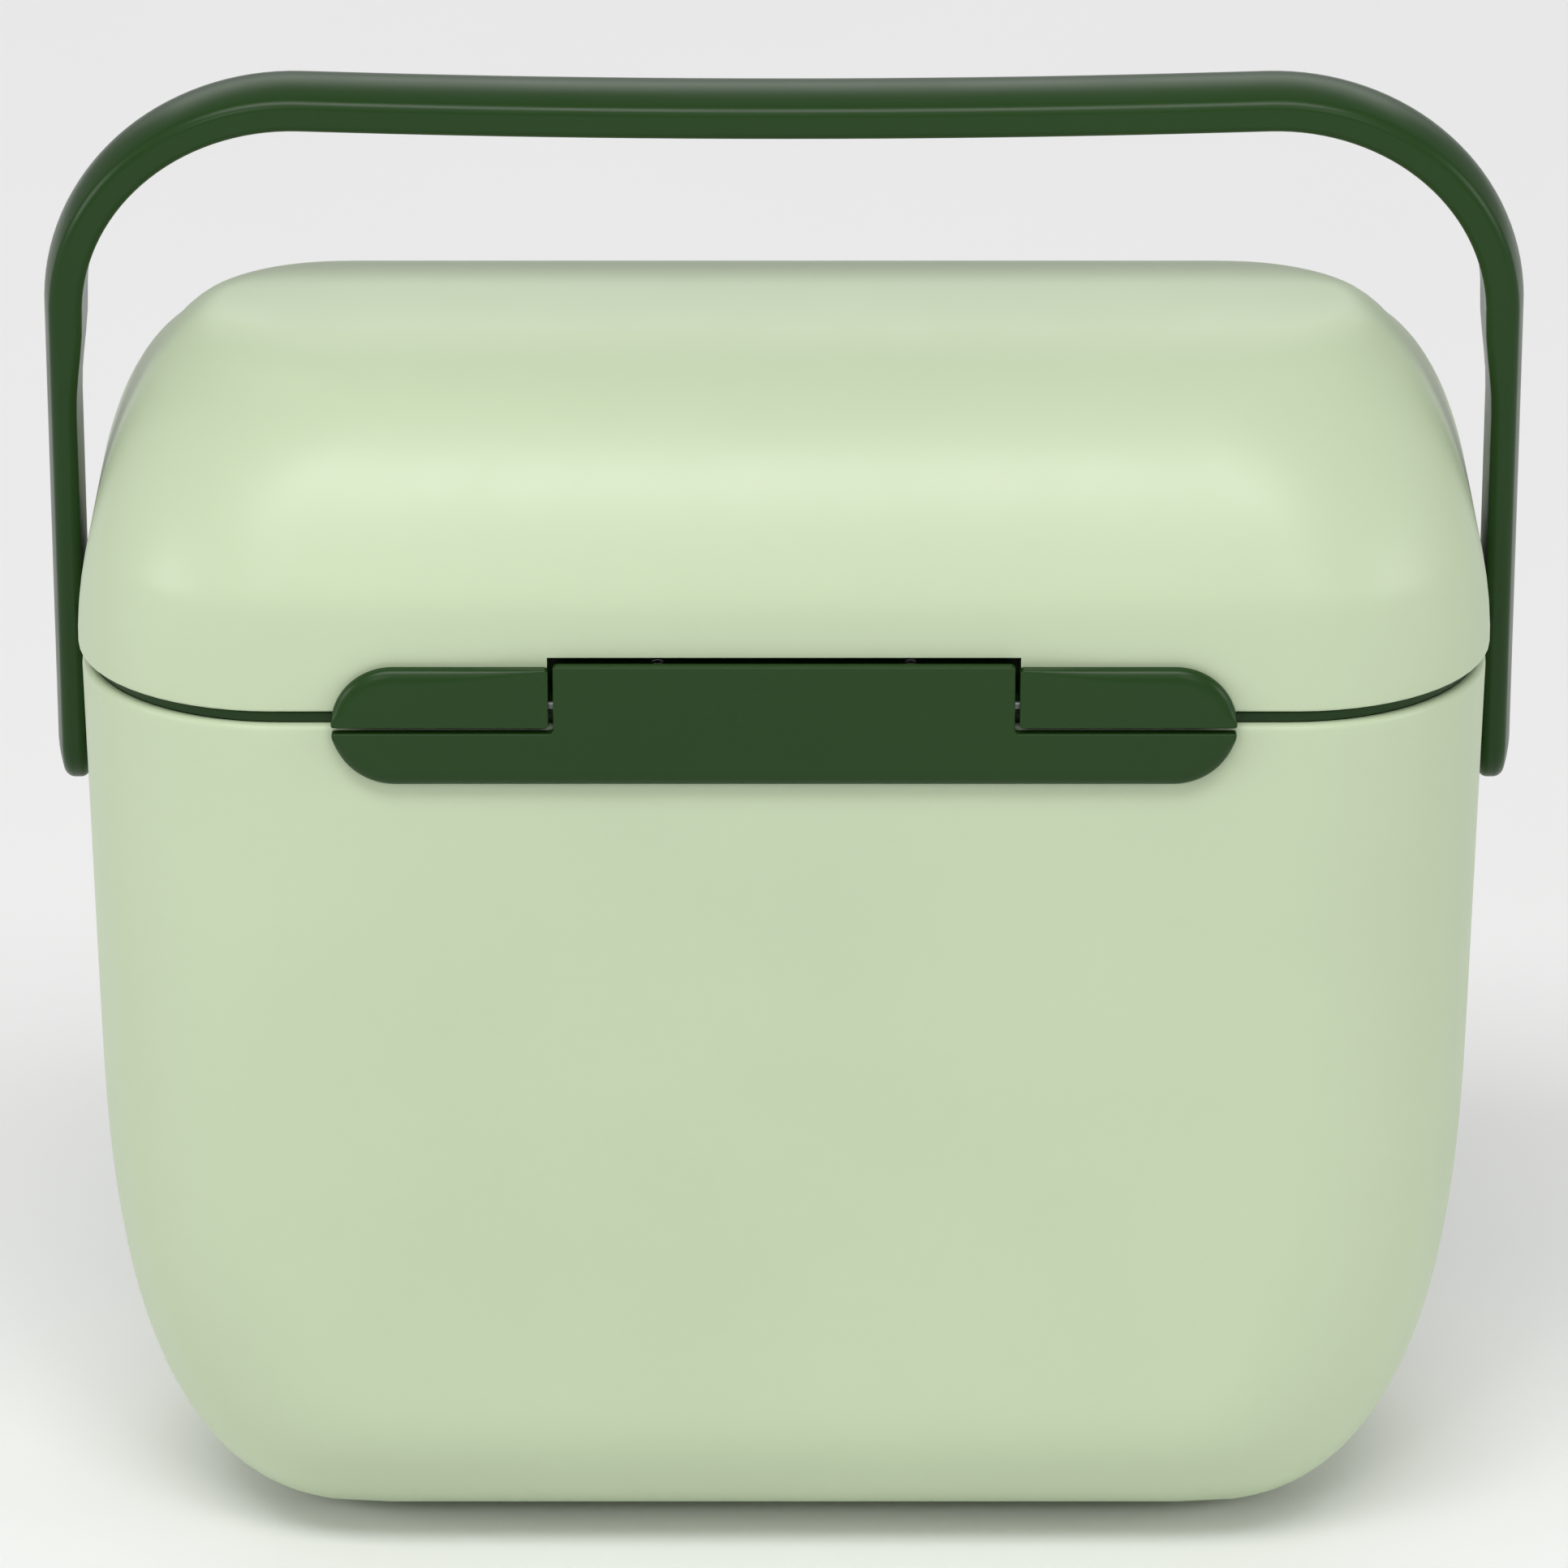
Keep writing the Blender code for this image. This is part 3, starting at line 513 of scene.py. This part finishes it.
def make_body():
    outer = [body_ring(z, 0.0, 0.0) for z in body_levels(0.0, -RIM_DROP - RIM_R, 26)]
    for a in quarter_turn(6, first=1):
        off = RIM_R * (1.0 - math.cos(a))
        outer.append(body_ring(-RIM_DROP - RIM_R + RIM_R * math.sin(a), off, 0.0))
    inner = [body_ring(-RIM_DROP, SKIN - 0.3 * MM, BODY_FLOOR)]
    inner.append(body_ring(-RIM_DROP - 0.3 * MM, SKIN, BODY_FLOOR))
    inner += [body_ring(z, SKIN, BODY_FLOOR) for z in reversed(body_levels(BODY_FLOOR, -20 * MM, 12))]
    shell = as_object(skin(outer + inner), "cooler_body")
    tools = [hinge_trough()]
    for side in (-1, 1):
        tools.append(rod((side * BODY_HALF_W, 0, PIVOT_Z), "X", STUB_R + GAP, 20 * MM))
        for y in (-FOOT_Y, FOOT_Y):
            tools.append(rod((side * FOOT_X, y, -BODY_DEEP), "Z", FOOT_SOCKET_R, FOOT_SOCKET_DEEP))
    wide = CATCH_HALF + GAP
    tools.append(box((-wide, -82 * MM, CATCH_LOW - GAP), (wide, -70 * MM, CATCH_TOP + GAP)))
    piece(boolean(shell, tools), "sage_shell", "body", "body_shell")

    top = -4.3 * MM
    outer = [body_ring(z, LINER_OUT, LINER_FLOOR_OUT) for z in body_levels(LINER_FLOOR_OUT, top, 16)]
    inner = [body_ring(z, LINER_IN, LINER_FLOOR_IN) for z in reversed(body_levels(LINER_FLOOR_IN, top, 20))]
    piece(as_object(skin(outer + inner), "inner_tub"), "liner_plastic", "body", "body_liner")

    edge = 0.8
    profile = [(2.8, -12.0), (2.8, -3.1), (2.1, -3.1)]
    for a in quarter_turn(5):
        profile.append((2.1 + edge - edge * math.cos(a), -0.5 - edge + edge * math.sin(a)))
    for a in quarter_turn(5):
        profile.append((20.4 - edge + edge * math.sin(a), -0.5 - edge + edge * math.cos(a)))
    profile += [(20.4, -4.0), (17.5, -4.0), (17.5, -12.0)]
    rings = [body_ring(z * MM, off * MM, 0.0) for off, z in profile]
    collar = as_object(skin(rings, closed=True), "seam_collar")
    notch = box((-33 * MM, -82 * MM, -20 * MM), (33 * MM, -69 * MM, -5.4 * MM))
    piece(boolean(collar, [hinge_trough(), notch]), "green_plastic", "body", "rim_collar")

    face = -(HALF_D - 0.1 * MM)
    wide, low, top = CATCH_HALF / MM, CATCH_LOW / MM, CATCH_TOP / MM
    outline = rounded([(-wide, low, 1), (wide, low, 1), (wide, top, 1), (-wide, top, 1)])
    catch = filleted_plate(outline, [0.4 * MM] * len(outline), face, -70 * MM, "catch")
    rib = prism([(face + 0.5 * MM, -12.6 * MM), (-79.6 * MM, -11.6 * MM),
                 (-79.6 * MM, -10.2 * MM), (face + 0.5 * MM, -8.6 * MM)], 24 * MM)
    boolean(catch, [rib], "UNION")
    boolean(catch, [rod((s * 28 * MM, face, -11.4 * MM), "Y", 2.2 * MM, 12 * MM) for s in (-1, 1)])
    catch.name = "catch_plate"
    piece(catch, "green_plastic", "body", "latch_catch", even=True)

    for x, y in ((-1, -1), (1, -1), (-1, 1), (1, 1)):
        node = "foot_" + ("front", "back")[y > 0] + ("_left", "_right")[x > 0]
        make_foot(node, x * FOOT_X, y * FOOT_Y)


def make_foot(node, x, y):
    """A rubber button with a rolled rim and a ring groove underneath."""
    profile = [(0.4, 0.9), (3.4, 0.9), (3.9, 0.7), (4.3, 0.1), (4.7, 0.0), (6.2, 0.0)]
    profile += [(6.8, 0.15), (7.2, 0.6), (7.5, 1.6), (7.9, 2.9), (7.8, 3.2), (7.5, 3.3)]
    pad = turned([(r * MM, z * MM) for r, z in profile], (x, y, -SEAM), "Z")
    pad.name = "pad_" + node[5:]
    piece(pad, "rubber_feet", "body", node)


def screw(node, body, out):
    """A domed screw head with a cross recess, as wide as its CAD node."""
    low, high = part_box(node)
    centre = [(l + h) / 2 for l, h in zip(low, high)]
    centre[2] -= SEAM
    radius = (high[0] - low[0]) / 2
    half = (high[1] - low[1]) / 2
    profile = [(radius * 0.9, -half), (radius * 0.9, half - 0.7 * MM), (radius, half - 0.6 * MM)]
    for a in quarter_turn(6):
        along = half - 0.5 * MM + 0.5 * MM * math.sin(a)
        profile.append((max(0.05 * MM, radius * math.cos(a) ** 0.6), along))
    head = turned([(r, along * out) for r, along in profile], centre, "Y", 32)
    wide = radius * 0.62
    slot = radius * 0.13
    y0, y1 = sorted((centre[1] + out * (half - 0.45 * MM), centre[1] + out * (half + 1 * MM)))
    bars = []
    for dx, dz in ((wide, slot), (slot, wide)):
        bars.append(box((centre[0] - dx, y0, centre[2] - dz), (centre[0] + dx, y1, centre[2] + dz)))
    boolean(head, bars)
    head.name = node + "_head"
    piece(head, "steel_hardware", body, node, angle=40.0)


# ---------------------------------------------------------------- lid

def make_lid():
    outer = []
    for a in quarter_turn(5):
        outer.append(lid_ring(LID_EDGE_R - LID_EDGE_R * math.cos(a), LID_EDGE_R - LID_EDGE_R * math.sin(a)))
    outer += [lid_ring(z, 0.0) for z in lid_levels(0.0, 2.5 * MM)]
    inner = [lid_ring(z, SKIN) for z in reversed(lid_levels(SKIN, 8.0 * MM, 12))]
    inner += [lid_ring(0.3 * MM, SKIN), lid_ring(0.0, SKIN - 0.3 * MM)]
    shell = as_object(skin(list(reversed(outer)) + list(reversed(inner))), "cooler_lid")
    tools = [hinge_trough()]
    tools.append(box((-55.9 * MM, -86 * MM, -2 * MM), (55.9 * MM, -72 * MM, POCKET_TOP)))
    wide = BLOCK_HALF + GAP
    tools.append(box((-wide, -86 * MM, -2 * MM), (wide, -72 * MM, 11.3 * MM)))
    piece(boolean(shell, tools), "sage_shell", "lid", "lid_shell")

    outside = []
    inside = []
    for a in quarter_turn(10):
        z = HOLLOW_START + (LID_LINER_TOP - HOLLOW_START) * math.sin(a)
        over = HOLLOW_ROUND * (1.0 - math.cos(a))
        inside.append(flange_ring(z, LID_LINER_IN + over))
        outside.append(flange_ring(z + 2 * MM * math.sin(a), LID_LINER_IN - 2 * MM * math.cos(a) + over))
    low_edge = []
    for a in quarter_turn(4):
        r = 0.8 * MM
        low_edge.append(flange_ring(FLANGE_LOW + r - r * math.cos(a), LID_LINER_IN - r + r * math.sin(a)))
    flange_out = SKIN + 0.4 * MM
    rings = list(reversed(outside))
    rings += [flange_ring(FLANGE_TOP, LID_LINER_IN - 2 * MM), flange_ring(FLANGE_TOP, flange_out)]
    rings += [flange_ring(FLANGE_LOW, flange_out)] + low_edge + inside
    liner = as_object(skin(rings), "lid_inner_pan")
    wide = BLOCK_HALF + 2 * GAP
    notch = box((-wide, -86 * MM, -2 * MM), (wide, -66.1 * MM, 15.6 * MM))
    piece(boolean(liner, [notch]), "liner_plastic", "lid", "lid_liner")

    profile = [(13.6, 3.0)]
    for i in range(13):
        a = math.pi * i / 12
        profile.append((16.0 - 2.4 * math.cos(a), 1.6 - 1.8 * math.sin(a)))
    profile.append((18.4, 3.0))
    rings = [flange_ring(z * MM, off * MM) for off, z in profile]
    piece(as_object(skin(rings, closed=True), "lid_seal"), "gasket_rubber", "lid", "lid_gasket")


# ---------------------------------------------------------------- latch

def arc(cx, cz, r, a0, a1, n):
    out = []
    for i in range(n + 1):
        a = math.radians(a0 + (a1 - a0) * i / n)
        out.append((cx + r * math.cos(a), cz + r * math.sin(a)))
    return out


def rounded(corners, steps=6):
    """A closed outline from (x, z, radius) corners in millimetres; radius 0 keeps the point."""
    out = []
    n = len(corners)
    for i, (x, z, r) in enumerate(corners):
        here = Vector((x, z))
        if r <= 0:
            out.append((x * MM, z * MM))
            continue
        back = (Vector(corners[i - 1][:2]) - here).normalized()
        ahead = (Vector(corners[(i + 1) % n][:2]) - here).normalized()
        half = back.angle(ahead) / 2
        centre = here + (back + ahead).normalized() * (r / math.sin(half))
        first = here + back * (r / math.tan(half)) - centre
        last = here + ahead * (r / math.tan(half)) - centre
        for k in range(steps + 1):
            turn = first.lerp(last, k / steps).normalized() * r
            out.append(((centre.x + turn.x) * MM, (centre.y + turn.y) * MM))
    return out


def inward(outline):
    """Unit normals into an anticlockwise outline."""
    out = []
    n = len(outline)
    for i in range(n):
        p0, p1, p2 = Vector(outline[i - 1]), Vector(outline[i]), Vector(outline[(i + 1) % n])
        a = (p1 - p0).normalized()
        b = (p2 - p1).normalized()
        mid = Vector((-(a.y + b.y), a.x + b.x)).normalized()
        out.append(mid / max(0.5, mid.dot(Vector((-a.y, a.x)))))
    return out


def filleted_plate(outline, radii, front, back, name, steps=8, foot=None):
    """A plate in the XZ plane whose front rim is rounded by a radius that may change along it.

    Wide fillets reach further over the face than they are deep. A foot (thickness, inset) makes the
    plate stand on a smaller base.
    """
    normals = inward(outline)
    sign = 1.0 if back > front else -1.0
    rings = []
    if foot:
        thick, inset = foot
        base = [(x + n.x * inset, z + n.y * inset) for (x, z), n in zip(outline, normals)]
        rings += [[(x, y, z) for x, z in base] for y in (back, front + sign * thick)]
        rings.append([(x, front + sign * thick, z) for x, z in outline])
    else:
        rings.append([(x, back, z) for x, z in outline])
    for a in quarter_turn(steps):
        ring = []
        for (x, z), n, r in zip(outline, normals, radii):
            wide = (r - FINE_FILLET) / (WIDE_FILLET - FINE_FILLET)
            reach = r * (1.0 + (FILLET_STRETCH - 1.0) * max(0.0, wide))
            inset = reach * (1.0 - math.cos(a))
            ring.append((x + n.x * inset, front + sign * r * (1.0 - math.sin(a)), z + n.y * inset))
        rings.append(ring)
    return as_object(skin(rings), name)


def smooth_radii(values, passes=6):
    """Even out a list of radii round a closed outline without ever raising one."""
    values = list(values)
    n = len(values)
    for _ in range(passes):
        soft = [(values[i - 1] + 2 * values[i] + values[(i + 1) % n]) / 4 for i in range(n)]
        values = [min(v, s) for v, s in zip(values, soft)]
    return values


def prism(profile, half):
    """A prism along X from (y, z) points."""
    return as_object(skin([[(x, y, z) for y, z in profile] for x in (-half, half)]), "prism")


def make_latch():
    mid = (LATCH_HALF - LATCH_R) / MM
    mid_z = LATCH_MID_Z / MM
    r = LATCH_R / MM
    start = math.degrees(math.asin((BAR_TOP - LATCH_MID_Z) / LATCH_R))

    corners = [(-TONGUE_HALF / MM, BAR_TOP / MM, 1.0)]
    curve = arc(-mid, mid_z, r, 180 - start, 270, 16)
    corners += [(curve[0][0], curve[0][1], 0.6)] + [(x, z, 0) for x, z in curve[1:]]
    corners += [(x, z, 0) for x, z in straight_run(-mid, mid, mid_z - r, 12)]
    curve = arc(mid, mid_z, r, 270, 360 + start, 16)
    corners += [(x, z, 0) for x, z in curve[:-1]] + [(curve[-1][0], curve[-1][1], 0.6)]
    corners += [(TONGUE_HALF / MM, BAR_TOP / MM, 1.0)]
    corners += [(TONGUE_HALF / MM, TONGUE_TOP / MM, 1.1), (-TONGUE_HALF / MM, TONGUE_TOP / MM, 1.1)]
    outline = rounded(corners)
    radii = [WIDE_FILLET if z < BAR_TOP - 1.6 * MM else FINE_FILLET for x, z in outline]
    for i, (x, z) in enumerate(outline):
        if abs(x) > LATCH_HALF - 1.5 * MM and z > BAR_TOP - 1.6 * MM:
            radii[i] = 0.5 * MM
    lever = filleted_plate(outline, smooth_radii(radii), LATCH_FRONT, LEVER_BACK, "lever_plate")
    barrel = rod((0, PIN_Y, PIN_Z), "X", 2.75 * MM, 2 * TONGUE_HALF)
    lip = prism([(LEVER_BACK - 0.5 * MM, -16.2 * MM), (-79.95 * MM, -15.6 * MM),
                 (-79.95 * MM, -14.4 * MM), (LEVER_BACK - 0.5 * MM, -13.8 * MM)], 24 * MM)
    boolean(lever, [barrel, lip], "UNION")
    boolean(lever, [rod((0, PIN_Y, PIN_Z), "X", PIN_R + PIN_GAP, 2 * TONGUE_HALF + 4 * MM)])
    piece(lever, "green_plastic", "latch", "latch_lever", even=True)

    back = -(HALF_D + GAP)
    foot = (LOBE_PLATE, LOBE_FOOT_INSET)
    lobes = []
    low = math.degrees(math.asin((LOBE_LOW - LATCH_MID_Z) / LATCH_R))
    for side in (-1, 1):
        curve = arc(mid, mid_z, r, low, 90, 18)
        corners = [(LOBE_INNER / MM, LOBE_LOW / MM, 1.0), (curve[0][0], curve[0][1], 0.6)]
        corners += [(x, z, 0) for x, z in curve[1:]]
        corners += [(x, z, 0) for x, z in reversed(straight_run(LOBE_INNER / MM + 2.0, mid, mid_z + r, 5))]
        corners += [(LOBE_INNER / MM, mid_z + r, 1.0)]
        if side < 0:
            corners = [(-x, z, c) for x, z, c in reversed(corners)]
        outline = rounded(corners)
        radii = []
        for x, z in outline:
            outside = z > LOBE_LOW + 1.6 * MM and abs(x) > LOBE_INNER + 1.8 * MM
            near = abs(x) < LOBE_INNER + 1.8 * MM
            radii.append(WIDE_FILLET if outside else (FINE_FILLET if near else 0.6 * MM))
        lobes.append(filleted_plate(outline, smooth_radii(radii), LATCH_FRONT, back, "lobe", foot=foot))
    bracket = box((-BLOCK_HALF, LATCH_FRONT + 1.9 * MM, 0.2 * MM), (BLOCK_HALF, -66.4 * MM, 10.2 * MM))
    trough = box((-BLOCK_HALF, -76.2 * MM, 0.2 * MM), (BLOCK_HALF, -66.4 * MM, 15.3 * MM))
    boolean(bracket, [trough] + lobes, "UNION")
    pocket = box((-LOBE_INNER, -90 * MM, 1.5 * MM), (LOBE_INNER, POCKET_BACK, POCKET_TOP))
    front = box((-LOBE_INNER, -90 * MM, -3 * MM), (LOBE_INNER, -76.6 * MM, POCKET_TOP))
    bore = rod((0, PIN_Y, PIN_Z), "X", PIN_R + PIN_GAP, 2 * (BLOCK_HALF - 1.5 * MM))
    holes = [rod((s * 30 * MM, -67 * MM, 8 * MM), "Y", 1.7 * MM, 6 * MM) for s in (-1, 1)]
    boolean(bracket, [pocket, front, bore] + holes)
    bracket.name = "lobe_bracket"
    piece(bracket, "green_plastic", "lid", "latch_bracket", even=True)

    pin = rounded_rod((0, PIN_Y, PIN_Z), "X", PIN_R, 2 * (BLOCK_HALF - 2 * MM), 0.3 * MM)
    pin.name = "lever_pin"
    piece(pin, "steel_hardware", "lid", "latch_pin")
    # the pin takes the darker steel copy, painted shade for the slits it sits in
    pin.data.materials[0] = MATS["pin_steel_shaded"]


def straight_run(x0, x1, z, count):
    """Points between two ends of a straight edge, ends left out."""
    return [(x0 + (x1 - x0) * i / count, z) for i in range(1, count)]


# ---------------------------------------------------------------- hinge

def make_hinge():
    face = HALF_D + GAP
    back = face + LEAF_T
    body_spans = ((-60, -38), (-13, 13), (38, 60))
    lid_spans = ((-37.5, -13.5), (13.5, 37.5))
    leaves = (
        ("hinge_body_leaf", "body_leaf", "body", body_spans, -18.0, -5.5),
        ("hinge_lid_leaf", "lid_leaf", "lid", lid_spans, 2.6, 14.0),
    )
    for node, name, rides, spans, low, high in leaves:
        wide = HINGE_HALF / MM
        outer_r, inner_r = 3.5, 0.6
        lower, upper = (outer_r, inner_r) if rides == "body" else (inner_r, outer_r)
        corners = [(-wide, low, lower), (wide, low, lower), (wide, high, upper), (-wide, high, upper)]
        outline = rounded(corners)
        leaf = filleted_plate(outline, [0.5 * MM] * len(outline), back, face, name)
        near = high - 0.5 if rides == "body" else low + 0.5
        z0, z1 = sorted((near * MM, HINGE_Z))
        extra = []
        for x0, x1 in spans:
            extra.append(box((x0 * MM, face, z0), (x1 * MM, back, z1)))
            mid = (x0 + x1) / 2 * MM
            extra.append(rounded_rod((mid, HINGE_Y, HINGE_Z), "X", HINGE_R, (x1 - x0) * MM, 0.4 * MM))
        boolean(leaf, extra, "UNION")
        mid_z = (low + high) / 2 - (0.8 if rides == "body" else -0.8)
        holes = [rod((s * 48 * MM, face, mid_z * MM), "Y", 2.2 * MM, 8 * MM) for s in (-1, 0, 1)]
        bore = rod((0, HINGE_Y, HINGE_Z), "X", HINGE_BORE_R, 2 * HINGE_HALF + 6 * MM)
        boolean(leaf, [bore] + holes)
        piece(leaf, "green_plastic", rides, node, even=True)
        for side in ("left", "middle", "right"):
            screw(node.replace("leaf", "screw_") + side, rides, 1)
    pin = rounded_rod((0, HINGE_Y, HINGE_Z), "X", HINGE_PIN_R, 2 * HINGE_HALF - 0.6 * MM, 0.5 * MM)
    pin.name = "hinge_rod"
    piece(pin, "steel_hardware", "body", "hinge_pin")


# ---------------------------------------------------------------- handle

def leg_middle(z):
    """Middle of the leg's thickness and half that thickness, at a height."""
    k = min(1.0, max(0.0, (z - THICKEN_FROM) / (THICKEN_TO - THICKEN_FROM)))
    inner = LEG_INNER + (LEG_OUTER - STRAP_T - LEG_INNER) * k * k * (3.0 - 2.0 * k)
    return (LEG_OUTER + inner) / 2, (LEG_OUTER - inner) / 2


def handle_path():
    """(x, z, half thickness, tangent, distance past the pivot) from one leg's end to the other's."""
    half = []
    for a in quarter_turn(13):
        z = PIVOT_Z - STRAP_HALF * math.cos(a)
        half.append((*leg_middle(z), z))
    bend_z = BAR_Z - BEND_RZ
    for z in straight(PIVOT_Z, bend_z, [i / 22 for i in range(1, 22)]):
        half.append((*leg_middle(z), z))
    half_t = STRAP_T / 2
    bend_x = LEG_OUTER - half_t - BEND_RX
    lean = math.atan(2 * BAR_SAG / bend_x)
    for i in range(33):
        a = (math.pi / 2 + lean) * i / 32
        half.append((bend_x + BEND_RX * math.cos(a), half_t, bend_z + BEND_RZ * math.sin(a)))
    end = half[-1][0]
    for i in range(1, 10):
        share = 1.0 - i / 10
        half.append((end * share, half_t, BAR_Z - BAR_SAG * (1.0 - share ** 2)))
    half.append((0.0, half_t, BAR_Z - BAR_SAG))
    path = half + [(-x, t, z) for x, t, z in reversed(half[:-1])]
    out = []
    for i, (x, t, z) in enumerate(path):
        x0, _, z0 = path[max(0, i - 1)]
        x1, _, z1 = path[min(len(path) - 1, i + 1)]
        out.append((x, z, t, Vector((x1 - x0, z1 - z0)).normalized(), max(0.0, PIVOT_Z - z)))
    return out


def strap_offsets():
    """Distances in from the strap's rim at which the section has a point."""
    r = STRAP_OUTER_R
    offsets = [r * (1.0 - math.cos(a)) for a in quarter_turn(10)]
    return offsets + [r + (STRAP_HALF - r) * s for s in (0.07, 0.18, 0.32, 0.48, 0.64, 0.8, 0.94)]


def thickness(e, half_t, radius):
    """How far the surface stands from the strap's middle, e in from its rim."""
    if e >= radius:
        return half_t
    return half_t - radius + math.sqrt(max(0.0, radius ** 2 - (radius - e) ** 2))


def strap_section(point, offsets):
    x, z, half_t, tangent, past = point
    nx, nz = tangent.y, -tangent.x
    swell = BAR_SWELL * min(1.0, max(0.0, (z - BAR_Z + BEND_RZ) / BEND_RZ))
    outer = []
    inner = []
    for e in offsets:
        y = math.sqrt(max(0.0, (STRAP_HALF - e) ** 2 - past ** 2))
        true_e = max(0.0, STRAP_HALF - math.hypot(y, past))
        out = ((STRAP_HALF - true_e) / STRAP_HALF) ** 2
        outer.append((y, thickness(true_e, half_t, STRAP_OUTER_R) - STRAP_CROWN * out + swell * (1.0 - out)))
        inner.append((y, -thickness(true_e, half_t, STRAP_INNER_R)))
    loop = [(-y, t) for y, t in outer] + [(y, t) for y, t in reversed(outer)]
    loop += inner + [(-y, t) for y, t in reversed(inner)]
    return [(x + nx * t, y, z + nz * t) for y, t in loop]


def make_handle():
    offsets = strap_offsets()
    rings = [strap_section(p, offsets) for p in handle_path()]
    bail = as_object(skin(rings), "carry_handle")
    inner = LEG_INNER
    sides = ((-1, "left"), (1, "right"))
    tools = []
    for s, side in sides:
        centre = (s * (inner + BUSH_DEEP / 2 - 2 * MM), 0, PIVOT_Z)
        tools.append(rod(centre, "X", BUSH_R + 0.4 * MM, BUSH_DEEP + 4 * MM))
    piece(boolean(bail, tools), "green_plastic", "handle", "handle_bail", even=True)
    wall = BODY_HALF_W + DRAFT_X * PIVOT_Z
    for s, side in sides:
        start = inner + 0.1 * MM
        stop = inner + BUSH_DEEP - 0.3 * MM
        centre = (s * (start + stop) / 2, 0, PIVOT_Z)
        bush = ring_piece(centre, "X", BUSH_R, STUB_R + RUN_GAP, stop - start)
        bush.name = "bush_" + side
        piece(bush, "bearing_plastic", "handle", "pivot_bush_" + side)
        gap = inner - wall
        centre = (s * (wall + gap / 2), 0, PIVOT_Z)
        washer = ring_piece(centre, "X", WASHER_R, STUB_R + RUN_GAP, gap - 0.5 * MM, 0.2 * MM)
        washer.name = "washer_" + side
        piece(washer, "bearing_plastic", "body", "pivot_washer_" + side)


# ---------------------------------------------------------------- studio

def area_light(name, place, aim, size, power):
    data = bpy.data.lights.new(name, "AREA")
    data.shape = "RECTANGLE"
    data.size, data.size_y = size
    data.energy = power
    ob = bpy.data.objects.new(name, data)
    bpy.context.scene.collection.objects.link(ob)
    ob.location = place
    ob.rotation_euler = (Vector(aim) - Vector(place)).to_track_quat("-Z", "Y").to_euler()


def make_floor():
    bm = bmesh.new()
    bmesh.ops.create_grid(bm, x_segments=8, y_segments=8, size=FLOOR_HALF)
    floor = as_object(bm, "floor")
    pale = (FLOOR_ALBEDO, FLOOR_ALBEDO, FLOOR_ALBEDO, 1.0)
    floor.data.materials.append(moulded("floor_pale", pale, 0.9, tone=0.004, grain=200.0, bump=0.01))


def make_studio():
    scene = bpy.context.scene
    make_floor()
    world = bpy.data.worlds.new("studio")
    world.use_nodes = True
    sky = world.node_tree.nodes["Background"]
    sky.inputs["Color"].default_value = (1.0, 1.0, 1.0, 1.0)
    sky.inputs["Strength"].default_value = WORLD_STRENGTH
    scene.world = world
    for light in LIGHTS:
        area_light(*light)
    scene.view_settings.view_transform = "Standard"
    scene.view_settings.look = "None"

    data = bpy.data.cameras.new("camera")
    data.sensor_width = CAMERA_SENSOR
    data.lens = CAMERA_LENS
    camera = bpy.data.objects.new("camera", data)
    scene.collection.objects.link(camera)
    away = Vector((0, -math.cos(CAMERA_ELEVATION), math.sin(CAMERA_ELEVATION)))
    camera.location = Vector((0, 0, SEAM - CAMERA_DROP)) + CAMERA_DISTANCE * away
    camera.rotation_euler = (math.pi / 2 - CAMERA_ELEVATION, 0, 0)
    scene.camera = camera


def dress_kept_nodes():
    """CAD nodes that stay as they are get a finished material."""
    kept = {
        "body_insulation": "foam_core", "lid_insulation": "foam_core",
        "pivot_stub_left": "steel_hardware", "pivot_stub_right": "steel_hardware",
    }
    for node, slot in kept.items():
        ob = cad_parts[node]
        ob.data.materials.clear()
        ob.data.materials.append(MATS[slot])


make_body()
make_lid()
make_latch()
make_hinge()
make_handle()
for side in ("left", "right"):
    screw("catch_screw_" + side, "body", -1)
    screw("bracket_screw_" + side, "lid", -1)
dress_kept_nodes()
make_studio()
